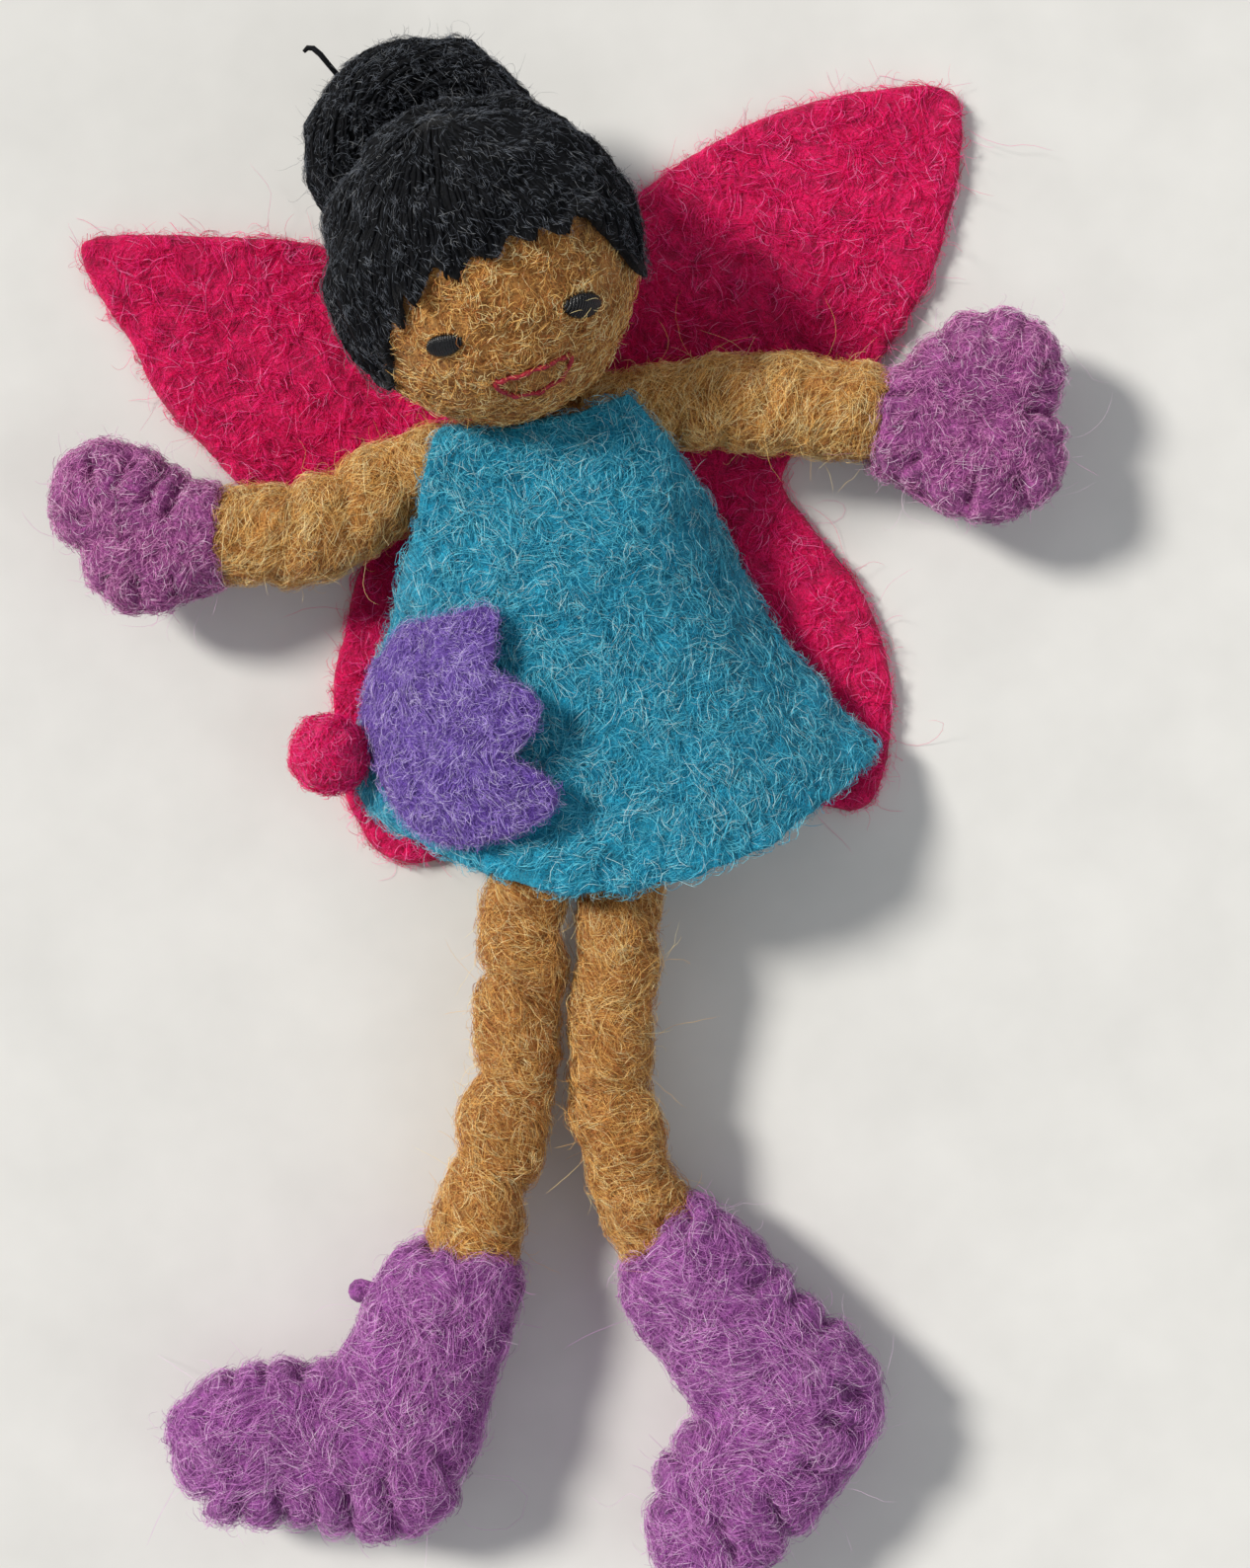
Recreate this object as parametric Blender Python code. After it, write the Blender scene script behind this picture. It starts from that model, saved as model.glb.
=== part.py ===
"""A felt fairy doll with a wire core, lying on its back with its head towards +Y and its face up.

Metres, +Z up. The origin is on the flat underside of the wings, at the middle of the back.
Left and right are the doll's own, so its left is at +X.
"""

import math

import bmesh
import bpy
import numpy as np
from mathutils import Matrix, Vector

MM = 0.001

# Clearances and the overrun that cutters share
GAP = 0.3 * MM
OVERRUN = 2 * MM

# Felt sheets
WING_THICKNESS = 2.5 * MM
WING_EDGE_ROUND = 0.7 * MM
WING_SPAN = 62 * MM
WING_HEIGHT = 55 * MM
DRESS_THICKNESS = 1.7 * MM
DRESS_LENGTH = 64.8 * MM
DRESS_TOP = 19.8 * MM
SHOULDER_HALF_WIDTH = 12.3 * MM
RIGHT_FLARE = 19.9 * MM
LEFT_FLARE = 24.6 * MM
HEM_WAVE = 0.5 * MM
SKIRT_RISE = 2.2 * MM

# Torso, an oval that is DEPTH thick and wider by WIDTH_RATIO
TORSO_DEPTH = 14 * MM
TORSO_WIDTH_RATIO = 1.28
TORSO_TOP = 17 * MM
TORSO_DROP = 25 * MM
PELVIS_SHIFT = 1.5 * MM
HIP_SPACING = 12.4 * MM
HIP_DROP = 24 * MM

# Wire core
WIRE_RADIUS = 0.6 * MM
WIRE_SETBACK = 2.6 * MM
SPINE_TOP = 12.5 * MM

# Arms, by radius, ball at each joint, length and direction seen from above
ARM_RADIUS = 6.3 * MM
ARM_BALL = 4.6 * MM
SHOULDER_ROLL_RADIUS = 4.9 * MM
SHOULDER_REACH = 18 * MM
SHOULDER_Y = {"left": 16.3 * MM, "right": 13.2 * MM}
UPPER_ARM_LENGTH = 13.6 * MM
FOREARM_LENGTH = 11.8 * MM
UPPER_ARM_ANGLE = {"left": -8.8, "right": 200.4}
FOREARM_ANGLE = {"left": -16.1, "right": 173.2}

# Legs, likewise, with the drop that lowers the boots to the ground
LEG_RADIUS = 5.4 * MM
LEG_BALL = 4.3 * MM
LEG_TOP_LENGTH = 26.4 * MM
THIGH_LENGTH = 20.4 * MM
SHIN_LENGTH = 19.6 * MM
LEG_TOP_ANGLE = {"left": 257.6, "right": 256.5}
THIGH_ANGLE = {"left": 256.6, "right": 255.5}
SHIN_ANGLE = {"left": 275.2, "right": 245.5}
LEG_DROP_ANGLE = 3.8

# Fold angles that the tapers beside each ball leave room for
SHOULDER_FOLD = 42
ELBOW_FOLD = 80
WRIST_FOLD = 40
SPREAD_FOLD = 60
HIP_FOLD = 84
KNEE_FOLD = 78
ANKLE_FOLD = {"left": 62, "right": 44}
FOLD_MARGIN = 3

# Mittens
FINGER_LENGTH = {"left": 25 * MM, "right": 22.6 * MM}
FINGER_REACH = {"left": 14 * MM, "right": 12.2 * MM}
THUMB_LENGTH = {"left": 25.6 * MM, "right": 18.6 * MM}
THUMB_REACH = {"left": 13.6 * MM, "right": 9.8 * MM}
MITTEN_DEPTH = 11.4 * MM
MITTEN_ANGLE = {"left": -12, "right": 171}

# Boots
BOOT_HEIGHT = 41.5 * MM
FOOT_LENGTH = 39.5 * MM
BOOT_DEPTH = 18 * MM
BOOT_ANGLE = {"left": 308.1, "right": 246}

# Head, an egg whose long axis leans forward from the neck
HEAD_SHIFT = 2.9 * MM
HEAD_Y = 36 * MM
HEAD_Z = 24.5 * MM
HEAD_CENTRE = Vector((-HEAD_SHIFT, HEAD_Y, HEAD_Z))
HEAD_RADIUS = 18.4 * MM
HEAD_HALF_HEIGHT = 19.4 * MM
NECK_Y = 18.6 * MM
NECK_BALL = 2.7 * MM
NECK_POST_RADIUS = 2.2 * MM
NECK_POST_DEPTH = 11 * MM
HAIR_THICKNESS = 1.4 * MM
BUN_RADIUS = 10.4 * MM
BUN_ROLL_RADIUS = 4.8 * MM
BUN_SIDE = 5.2 * MM
BUN_BACK = 16.6 * MM
BUN_LOW = 7 * MM
BUN_LEAN = 24

# Face, placed in degrees round the crown from the front and down from the crown
EYE_WIDTH = 4.8 * MM
EYE_HEIGHT = 3.2 * MM
EYE_DEPTH = 1.6 * MM
EYE_ROUND = {"left": 35.8, "right": -20.5}
EYE_DOWN = {"left": 93.5, "right": 89}
MOUTH_ROUND = 10.2
MOUTH_HALF_ROUND = 17.5
MOUTH_DOWN = 111
MOUTH_OPEN = 13
MOUTH_THREAD = 0.3 * MM

# Flower
FLOWER_LENGTH = 23.5 * MM
FLOWER_WIDTH = 29.5 * MM
FLOWER_THICKNESS = 1.3 * MM
FLOWER_LIFT = 3 * MM
FLOWER_SIDE = 29.4 * MM
FLOWER_DROP = 20.8 * MM
FLOWER_BALL_RADIUS = 4.9 * MM
FLOWER_BALL_SIDE = 34.6 * MM
FLOWER_BALL_Z = 11.6 * MM

# Heights that stack up from the ground
BACK_PANEL_Z = WING_THICKNESS + GAP + DRESS_THICKNESS / 2
BODY_Z = WING_THICKNESS + 2 * GAP + DRESS_THICKNESS + TORSO_DEPTH / 2
SEAM_Z = BACK_PANEL_Z + DRESS_THICKNESS + GAP
OVER_ARM_Z = BODY_Z + SHOULDER_ROLL_RADIUS + 2 * GAP + DRESS_THICKNESS / 2
OVER_BODY_Z = BODY_Z + TORSO_DEPTH / 2 + GAP + DRESS_THICKNESS / 2

# Facets, and the steps across and along each sheet
LIMB_SIDES = 16
WIRE_SIDES = 8
BALL_STEPS = 5
DRESS_FRONT_STEPS = (26, 16)
DRESS_BACK_STEPS = (12, 12)
FLOWER_BACK_STEPS = (8, 20)
FLOWER_FRONT_STEPS = (10, 30)
HALF_TURN = 180

# Wing outline from the middle of the top edge, in shares of span and height, for each side
LEFT_WING_SHARES = (
    (0.16, 0.75), (0.32, 0.86), (0.48, 0.94), (0.72, 1.0), (0.95, 0.99), (1.025, 0.92),
    (1.0, 0.79), (0.95, 0.65), (0.88, 0.5), (0.75, 0.34), (0.6, 0.21), (0.51, 0.125),
    (0.5, 0.075), (0.55, -0.035), (0.62, -0.185), (0.655, -0.36), (0.645, -0.52),
    (0.605, -0.66), (0.545, -0.735), (0.46, -0.71), (0.3, -0.62),
)
RIGHT_WING_SHARES = (
    (-0.26, -0.64), (-0.39, -0.68), (-0.47, -0.655), (-0.525, -0.6), (-0.556, -0.49),
    (-0.56, -0.36), (-0.54, -0.2), (-0.5, -0.085), (-0.44, 0.06), (-0.4, 0.12), (-0.44, 0.17),
    (-0.54, 0.22), (-0.65, 0.3), (-0.72, 0.41), (-0.8, 0.55), (-0.845, 0.7), (-0.89, 0.82),
    (-0.92, 0.945), (-0.87, 0.975), (-0.66, 0.93), (-0.4, 0.86), (-0.18, 0.77),
)

# Dress rows from neckline to hem: flare share, drop share and lift share of each side seam
RIGHT_SEAM_SHARES = (
    (0.0, 0.026, 0.9), (0.07, 0.052, 1.0), (0.2, 0.14, 1.0), (0.35, 0.24, 0.8), (0.56, 0.37, 0.08),
    (0.75, 0.47, 0.0), (0.92, 0.59, 0.0), (1.0, 0.7, 0.0), (0.93, 0.755, 0.0),
)
LEFT_SEAM_SHARES = (
    (0.0, 0.026, 1.0), (0.08, 0.08, 1.0), (0.21, 0.18, 0.65), (0.33, 0.25, 0.2), (0.42, 0.335, 0.0),
    (0.53, 0.5, 0.0), (0.72, 0.64, 0.0), (0.91, 0.75, 0.0), (1.0, 0.81, 0.0),
)
MIDDLE_DROP_SHARES = (0.05, 0.125, 0.25, 0.36, 0.48, 0.61, 0.75, 0.88, 1.0)

# Torso silhouette from top to bottom: share of its length, share of its half depth
TORSO_SHARES = (
    (0.0, 0.45), (0.025, 0.68), (0.09, 0.88), (0.2, 0.98), (0.36, 1.0), (0.52, 0.93),
    (0.68, 0.95), (0.82, 1.0), (0.93, 0.94), (1.0, 0.7),
)

# Bulges along a limb's middle stretch: share of that stretch, share of the limb's radius
ARM_BULGE_SHARES = ((0.0, 0.93), (0.35, 1.0), (0.7, 0.97), (1.0, 0.92))
THIGH_BULGE_SHARES = ((0.0, 0.9), (0.22, 1.0), (0.45, 0.9), (0.72, 1.0), (1.0, 0.9))
SHIN_BULGE_SHARES = ((0.0, 0.9), (0.25, 1.0), (0.5, 0.94), (0.78, 1.06), (1.0, 0.97))

# Mitten lobes: share along, shares across of the two edges, share of half depth
FINGER_SHARES = (
    (0.055, -0.44, 0.42, 0.86), (0.17, -0.52, 0.5, 0.95), (0.33, -0.46, 0.74, 1.0),
    (0.5, -0.36, 0.92, 1.0), (0.66, -0.22, 1.0, 0.98), (0.8, -0.12, 0.99, 0.88),
    (0.9, -0.05, 0.86, 0.72), (0.97, 0.06, 0.7, 0.48), (1.0, 0.2, 0.56, 0.2),
)
THUMB_SHARES = (
    (0.09, -0.56, 0.3, 0.8), (0.2, -0.66, 0.3, 0.92), (0.36, -0.88, 0.3, 1.0),
    (0.54, -1.0, 0.26, 1.0), (0.72, -0.98, 0.2, 0.94), (0.86, -0.86, 0.13, 0.78),
    (0.95, -0.7, 0.05, 0.52), (1.0, -0.54, -0.08, 0.22),
)

# Boot: height share and length share of the heel-side edge, then of the front edge, then depth share
BOOT_SHARES = (
    (0.04, -0.15, 0.04, 0.15, 0.6), (0.11, -0.17, 0.1, 0.225, 0.84), (0.26, -0.185, 0.2, 0.283, 0.95),
    (0.46, -0.17, 0.32, 0.297, 0.98), (0.65, -0.17, 0.41, 0.32, 1.0), (0.84, -0.15, 0.47, 0.335, 1.0),
    (0.955, -0.045, 0.49, 0.348, 1.0), (0.995, 0.13, 0.503, 0.385, 1.0), (1.0, 0.31, 0.515, 0.45, 1.0),
    (1.0, 0.48, 0.53, 0.55, 0.97), (0.985, 0.63, 0.575, 0.66, 0.9), (0.925, 0.745, 0.65, 0.76, 0.74),
    (0.835, 0.815, 0.75, 0.825, 0.32),
)

# Flower, from its lower edge to its upper: share across, stem-side share, petal-side share
FLOWER_SHARES = (
    (-1.0, 0.44, 0.66), (-0.93, 0.3, 0.86), (-0.8, 0.2, 0.985), (-0.66, 0.13, 1.0), (-0.48, 0.08, 0.92),
    (-0.36, 0.05, 0.8), (-0.28, 0.04, 0.83), (-0.12, 0.02, 0.95), (0.04, 0.0, 1.0), (0.2, -0.01, 0.96),
    (0.36, 0.0, 0.84), (0.45, 0.02, 0.77), (0.56, 0.05, 0.8), (0.76, 0.13, 0.84), (0.92, 0.24, 0.85),
    (1.0, 0.34, 0.8),
)

# Hairline: azimuth round the crown from the front, in degrees, and polar angle of the hair's edge
HAIRLINE = (
    (0, 58), (10, 63), (18, 56), (26, 63), (32, 58), (39, 67), (46, 62), (52, 68), (60, 80), (66, 96),
    (72, 103), (90, 108), (120, 112), (150, 114), (180, 114), (210, 116), (240, 118), (270, 118),
    (296, 116), (306, 108), (313, 96), (318, 78), (324, 83), (330, 66), (335, 72), (343, 58), (352, 66),
)
BUN_ARC = (-34, 214)


def clear_scene():
    for item in list(bpy.data.objects):
        bpy.data.objects.remove(item)


def felt(name, colour, roughness=0.95, metallic=0.0):
    material = bpy.data.materials.new(name)
    material.use_nodes = True
    shader = material.node_tree.nodes["Principled BSDF"]
    shader.inputs["Base Color"].default_value = (*colour, 1.0)
    shader.inputs["Roughness"].default_value = roughness
    shader.inputs["Metallic"].default_value = metallic
    return material


def solid(name, points, faces, material):
    """A closed mesh object whose faces point out."""
    mesh = bpy.data.meshes.new(name)
    mesh.from_pydata([tuple(p) for p in points], [], [tuple(f) for f in faces])
    body = bmesh.new()
    body.from_mesh(mesh)
    bmesh.ops.recalc_face_normals(body, faces=body.faces)
    body.to_mesh(mesh)
    body.free()
    mesh.shade_smooth()
    mesh.set_sharp_from_angle(angle=math.radians(50))
    mesh.materials.append(material)
    item = bpy.data.objects.new(name, mesh)
    bpy.context.collection.objects.link(item)
    return item


def pivot(name, place, parent=None):
    """An empty on a joint's axis, which carries the pieces that move with that joint."""
    empty = bpy.data.objects.new(name, None)
    empty.location = place
    if parent:
        empty.parent = parent
        empty.location = place - parent.matrix_world.translation
    bpy.context.collection.objects.link(empty)
    bpy.context.view_layer.update()
    return empty


def carry(item, empty):
    """Puts an item that is modelled in world places under a pivot."""
    item.parent = empty
    item.matrix_parent_inverse = Matrix.Translation(-empty.matrix_world.translation)


def heading(angle, drop=0.0):
    """The unit direction at this angle from +X seen from above, dropping by the second angle."""
    turn, down = math.radians(angle), math.radians(drop)
    return Vector((math.cos(turn) * math.cos(down), math.sin(turn) * math.cos(down), -math.sin(down)))


def frame_of(start, direction):
    """A matrix whose Z runs along the direction from the start."""
    return Matrix.Translation(start) @ direction.to_track_quat("Z", "Y").to_matrix().to_4x4()


def turned(name, start, direction, profile, sides, material, bored=True, flatten=1.0):
    """Revolves a profile of (along, radius) pairs. A bored one is a closed loop round its bore."""
    place = frame_of(start, direction)
    points, faces = [], []
    for along, radius in profile:
        for k in range(sides):
            turn = 2 * math.pi * k / sides
            x, y = radius * math.cos(turn) * flatten, radius * math.sin(turn)
            points.append(place @ Vector((x, y, along)))
    rows = len(profile)
    for i in range(rows if bored else rows - 1):
        a, b = i * sides, (i + 1) % rows * sides
        for k in range(sides):
            n = (k + 1) % sides
            faces.append((a + k, a + n, b + n, b + k))
    if not bored:
        faces.append(tuple(range(sides)))
        faces.append(tuple(range((rows - 1) * sides, rows * sides)))
    return solid(name, points, faces, material)


def arc(centre, radius, start, end, steps):
    """Points of a profile on a circle round a place on the axis, by angles from the axis."""
    turns = [math.radians(start + (end - start) * k / steps) for k in range(steps + 1)]
    return [(centre + radius * math.cos(turn), radius * math.sin(turn)) for turn in turns]


def taper_angle(fold):
    return 90 - fold / 2 - FOLD_MARGIN


def bore_angle(radius):
    return math.degrees(math.asin((WIRE_RADIUS + GAP) / radius))


def limb(name, start, direction, length, radius, ball, folds, bulge_shares, material, start_ball=False):
    """One length of a limb, with a cup or ball at its start, a ball at its end and tapers beside both."""
    first, last = taper_angle(folds[0]), taper_angle(folds[1])
    first_run = radius / math.tan(math.radians(first))
    last_run = radius / math.tan(math.radians(last))
    middle = length - first_run - last_run
    if start_ball:
        profile = arc(0, ball, HALF_TURN - bore_angle(ball), first, BALL_STEPS)
    else:
        cup = ball + GAP
        profile = arc(0, cup, bore_angle(cup), first, BALL_STEPS - 1)
    profile += [(first_run + middle * along, radius * share) for along, share in bulge_shares]
    profile += arc(length, ball, HALF_TURN - last, bore_angle(ball), BALL_STEPS)
    return turned(name, start, direction, profile, LIMB_SIDES, material)


def wire(name, start, direction, length, material, setback=WIRE_SETBACK):
    """The wire inside one length, which starts this far from the joint and ends short of the next one."""
    profile = [(setback, WIRE_RADIUS), (length - WIRE_SETBACK, WIRE_RADIUS)]
    return turned(name, start, direction, profile, WIRE_SIDES, material, bored=False)


def cutter(item):
    item.hide_render = True
    item.display_type = "WIRE"
    return item


def boolean(target, other, operation="DIFFERENCE"):
    modifier = target.modifiers.new(f"{operation.lower()}_{other.name}", "BOOLEAN")
    modifier.operation = operation
    modifier.solver = "EXACT"
    modifier.object = cutter(other)


def ellipsoid(name, centre, radii, turn, material, segments=20, rings=12):
    """An egg shape with these three radii, turned by a matrix."""
    points = [centre + turn @ Vector((0, 0, -radii[2]))]
    for i in range(1, rings):
        tilt = math.pi * i / rings
        for k in range(segments):
            spin = 2 * math.pi * k / segments
            local = Vector((
                radii[0] * math.sin(tilt) * math.cos(spin),
                radii[1] * math.sin(tilt) * math.sin(spin),
                -radii[2] * math.cos(tilt),
            ))
            points.append(centre + turn @ local)
    points.append(centre + turn @ Vector((0, 0, radii[2])))
    faces = []
    for k in range(segments):
        n = (k + 1) % segments
        faces.append((0, 1 + k, 1 + n))
        for i in range(rings - 2):
            a = 1 + i * segments
            faces.append((a + k, a + n, a + n + segments, a + k + segments))
        a = 1 + (rings - 2) * segments
        faces.append((a + k, a + n, len(points) - 1))
    return solid(name, points, faces, material)


def smooth_loop(points, steps):
    """A closed Catmull-Rom curve through the points."""
    count, loop = len(points), []
    for i in range(count):
        a, b, c, d = (np.array(points[(i + j - 1) % count]) for j in range(4))
        for k in range(steps):
            t = k / steps
            loop.append(0.5 * (2 * b + (c - a) * t + (2 * a - 5 * b + 4 * c - d) * t**2
                               + (3 * b - a - 3 * c + d) * t**3))
    return np.array(loop)


def between(rows, position):
    """A value of a table of rows at a place that may lie between two of them, on a smooth curve."""
    table = np.array(rows, float)
    i = int(min(max(math.floor(position), 0), len(table) - 2))
    t = position - i
    b, c = table[i], table[i + 1]
    a = table[i - 1] if i else 2 * b - c
    d = table[i + 2] if i + 2 < len(table) else 2 * c - b
    return 0.5 * (2 * b + (c - a) * t + (2 * a - 5 * b + 4 * c - d) * t**2 + (3 * b - a - 3 * c + d) * t**3)


def sheet(name, surface, across, along, thickness, material):
    """A sheet of this thickness on a surface of (u from -1 to 1, v from 0 to 1)."""
    points, faces = [], []
    for side in (-1, 1):
        for j in range(along + 1):
            for i in range(across + 1):
                place = surface(2 * i / across - 1, j / along)
                points.append(place + Vector((0, 0, side * thickness / 2)))
    width = across + 1
    layer = width * (along + 1)
    for j in range(along):
        for i in range(across):
            a = j * width + i
            faces.append((a, a + 1, a + 1 + width, a + width))
            faces.append((layer + a, layer + a + 1, layer + a + 1 + width, layer + a + width))
    rim = [i for i in range(across)]
    rim += [j * width + across for j in range(along)]
    rim += [along * width + across - i for i in range(across)]
    rim += [(along - j) * width for j in range(along)]
    for k, a in enumerate(rim):
        b = rim[(k + 1) % len(rim)]
        faces.append((a, b, layer + b, layer + a))
    return solid(name, points, faces, material)


def rail_loft(name, rows, place, material, sides=14):
    """A puffed body between two edges: rows of (edge point, edge point, half depth) in a plane."""
    points, faces = [], []
    for first, second, depth in rows:
        middle = [(a + b) / 2 for a, b in zip(first, second)]
        half = [(a - b) / 2 for a, b in zip(first, second)]
        for k in range(sides):
            turn = 2 * math.pi * k / sides
            across, up = math.cos(turn), math.sin(turn)
            up = math.copysign(abs(up) ** 0.85, up)
            x, y = (m + h * across for m, h in zip(middle, half))
            points.append(place @ Vector((x, y, depth * up)))
    for i in range(len(rows) - 1):
        for k in range(sides):
            n = (k + 1) % sides
            a = i * sides
            faces.append((a + k, a + n, a + n + sides, a + k + sides))
    faces.append(tuple(range(sides)))
    faces.append(tuple(range((len(rows) - 1) * sides, len(rows) * sides)))
    return solid(name, points, faces, material)


def slab(name, centre, size, low, high, material):
    """A box over a square of this size round a centre, between two heights."""
    corners = [(x, y, z) for z in (low, high) for x, y in ((-1, -1), (1, -1), (1, 1), (-1, 1))]
    points = [(centre.x + x * size, centre.y + y * size, z) for x, y, z in corners]
    faces = [(0, 1, 2, 3), (4, 5, 6, 7), (0, 1, 5, 4), (1, 2, 6, 5), (2, 3, 7, 6), (3, 0, 4, 7)]
    return solid(name, points, faces, material)


def plan_frame(place, angle, mirrored=False):
    """A matrix whose X runs along this angle seen from above, Z up, and Y to its left or right."""
    turn = Matrix.Rotation(math.radians(angle), 4, "Z")
    return Matrix.Translation(place) @ turn @ Matrix.Diagonal((1, -1 if mirrored else 1, 1, 1))


clear_scene()
TAN = felt("tan_wool", (0.52, 0.24, 0.075))
PINK = felt("pink_felt", (0.75, 0.01, 0.1))
TEAL = felt("turquoise_felt", (0.01, 0.23, 0.36))
VIOLET = felt("violet_felt", (0.11, 0.045, 0.36))
LILAC = felt("lilac_felt", (0.3, 0.08, 0.38))
BLACK = felt("black_yarn", (0.008, 0.009, 0.012))
RED = felt("red_thread", (0.4, 0.01, 0.03))
STEEL = felt("steel_wire", (0.55, 0.55, 0.57), roughness=0.35, metallic=1.0)


def make_wings():
    """Four lobes cut from one sheet, flat on the ground, with rounded edges."""
    shares = LEFT_WING_SHARES + RIGHT_WING_SHARES
    outline = smooth_loop([(x * WING_SPAN, y * WING_HEIGHT) for x, y in shares], 3)
    step = np.roll(outline, -1, axis=0) - np.roll(outline, 1, axis=0)
    inward = np.stack([step[:, 1], -step[:, 0]], axis=1)
    inward /= np.linalg.norm(inward, axis=1)[:, None]
    points, faces, count = [], [], len(outline)
    levels = (
        (0, 1), (WING_EDGE_ROUND, 0), (WING_THICKNESS - WING_EDGE_ROUND, 0), (WING_THICKNESS, 1),
    )
    for height, inset in levels:
        ring = outline + inward * inset * WING_EDGE_ROUND
        points += [(x, y, height) for x, y in ring]
    for i in range(len(levels) - 1):
        for k in range(count):
            n = (k + 1) % count
            faces.append((i * count + k, i * count + n, (i + 1) * count + n, (i + 1) * count + k))
    faces.append(tuple(range(count)))
    faces.append(tuple(range((len(levels) - 1) * count, len(levels) * count)))
    return solid("wings", points, faces, PINK)


def dress_place(u, v):
    """Where a point of the dress lies seen from above, and how far the front is lifted there."""
    row = v * (len(MIDDLE_DROP_SHARES) - 1)
    right = between(RIGHT_SEAM_SHARES, row)
    left = between(LEFT_SEAM_SHARES, row)
    right_x = -SHOULDER_HALF_WIDTH - right[0] * RIGHT_FLARE
    left_x = SHOULDER_HALF_WIDTH + left[0] * LEFT_FLARE
    x = right_x + (left_x - right_x) * (u + 1) / 2
    middle = between([(share,) for share in MIDDLE_DROP_SHARES], row)[0]
    side = left if u > 0 else right
    drop = middle + (side[1] - middle) * abs(u) ** 2.2
    return x, DRESS_TOP - drop * DRESS_LENGTH, min(max(side[2], 0), 1)


def dress_front_place(u, v):
    """The middle of the front panel, arched over the body, down to the seams, with a waved hem."""
    x, y, lift = dress_place(u, v)
    edge = SEAM_Z + (OVER_ARM_Z - SEAM_Z) * lift
    crown = OVER_BODY_Z + SKIRT_RISE * v**2 - (OVER_BODY_Z - OVER_ARM_Z) / 2 * (1 - v) ** 8
    wave = HEM_WAVE * math.sin(9 * math.pi * u) * v**4 * (1 - abs(u))
    return Vector((x, y, edge + (crown - edge) * (1 - abs(u) ** 3) + wave))


def dress_back_place(u, v):
    x, y, _ = dress_place(u, v)
    return Vector((x, y, BACK_PANEL_Z))


def dress_height(x, y):
    """The height of the dress front's middle at a place seen from above, by search over its surface."""
    u, v = -0.5, 0.5
    for _ in range(40):
        place = dress_front_place(u, v)
        u += (x - place.x) / (2 * (SHOULDER_HALF_WIDTH + RIGHT_FLARE))
        v += (place.y - y) / (1.3 * DRESS_LENGTH)
        u, v = min(max(u, -1), 1), min(max(v, 0), 1)
    return dress_front_place(u, v).z


def make_dress():
    sheet("dress_front", dress_front_place, *DRESS_FRONT_STEPS, DRESS_THICKNESS, TEAL)
    sheet("dress_back", dress_back_place, *DRESS_BACK_STEPS, DRESS_THICKNESS, TEAL)


SHOULDERS = {
    "left": Vector((SHOULDER_REACH, SHOULDER_Y["left"], BODY_Z)),
    "right": Vector((-SHOULDER_REACH, SHOULDER_Y["right"], BODY_Z)),
}
NECK_PIVOT = Vector((0, NECK_Y, BODY_Z))
HIPS = {
    "left": Vector((HIP_SPACING / 2 - PELVIS_SHIFT, -HIP_DROP, BODY_Z)),
    "right": Vector((-HIP_SPACING / 2 - PELVIS_SHIFT, -HIP_DROP, BODY_Z)),
}


def ball(name, centre, radius, material):
    return ellipsoid(name, centre, (radius, radius, radius), Matrix(), material)


def make_torso():
    """A felted body joined to the shoulder roll, with sockets for neck and hips and bores for wires."""
    top = Vector((0, TORSO_TOP, BODY_Z))
    length = TORSO_TOP + TORSO_DROP
    axis = Vector((-PELVIS_SHIFT, -length, 0)).normalized()
    profile = [(along * length, share * TORSO_DEPTH / 2) for along, share in TORSO_SHARES]
    torso = turned("torso", top, axis, profile, 22, TAN, bored=False, flatten=TORSO_WIDTH_RATIO)
    start, across = SHOULDERS["right"], SHOULDERS["left"] - SHOULDERS["right"]
    reach, way = across.length, across.normalized()
    taper = taper_angle(SHOULDER_FOLD)
    roll = arc(0, ARM_BALL, HALF_TURN - bore_angle(ARM_BALL) / 2, taper, BALL_STEPS)
    roll += [(SHOULDER_ROLL_RADIUS / math.tan(math.radians(taper)), SHOULDER_ROLL_RADIUS)]
    roll += [(reach - along, radius) for along, radius in reversed(roll)]
    boolean(torso, turned("shoulder_roll", start, way, roll, LIMB_SIDES, TAN, False), "UNION")
    bore = [(-OVERRUN - ARM_BALL, WIRE_RADIUS + GAP), (reach + ARM_BALL + OVERRUN, WIRE_RADIUS + GAP)]
    boolean(torso, turned("shoulder_bore", start, way, bore, LIMB_SIDES, TAN, False))
    boolean(torso, ball("neck_socket", NECK_PIVOT, NECK_BALL + GAP, TAN))
    for side, hip in HIPS.items():
        boolean(torso, ball(f"hip_socket_{side}", hip, LEG_BALL + GAP, TAN))
    spine_start = Vector((0, SPINE_TOP, BODY_Z))
    spine_length = SPINE_TOP + TORSO_DROP
    bore = [(0, WIRE_RADIUS + GAP), (spine_length + OVERRUN, WIRE_RADIUS + GAP)]
    boolean(torso, turned("spine_bore", spine_start, axis, bore, LIMB_SIDES, TAN, False))
    turned(
        "spine_wire", spine_start, axis,
        [(GAP, WIRE_RADIUS), (spine_length - GAP, WIRE_RADIUS)], WIRE_SIDES, STEEL, False,
    )
    wire("shoulder_wire", start, way, reach, STEEL)


HEAD_UP = (HEAD_CENTRE - NECK_PIVOT).normalized()
HEAD_SIDE = Vector((1, 0, 0)).cross(HEAD_UP).cross(HEAD_UP).normalized() * -1
HEAD_FRONT = HEAD_SIDE.cross(HEAD_UP)
HEAD_TURN = Matrix((HEAD_SIDE, -HEAD_FRONT, HEAD_UP)).transposed().to_4x4()


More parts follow.
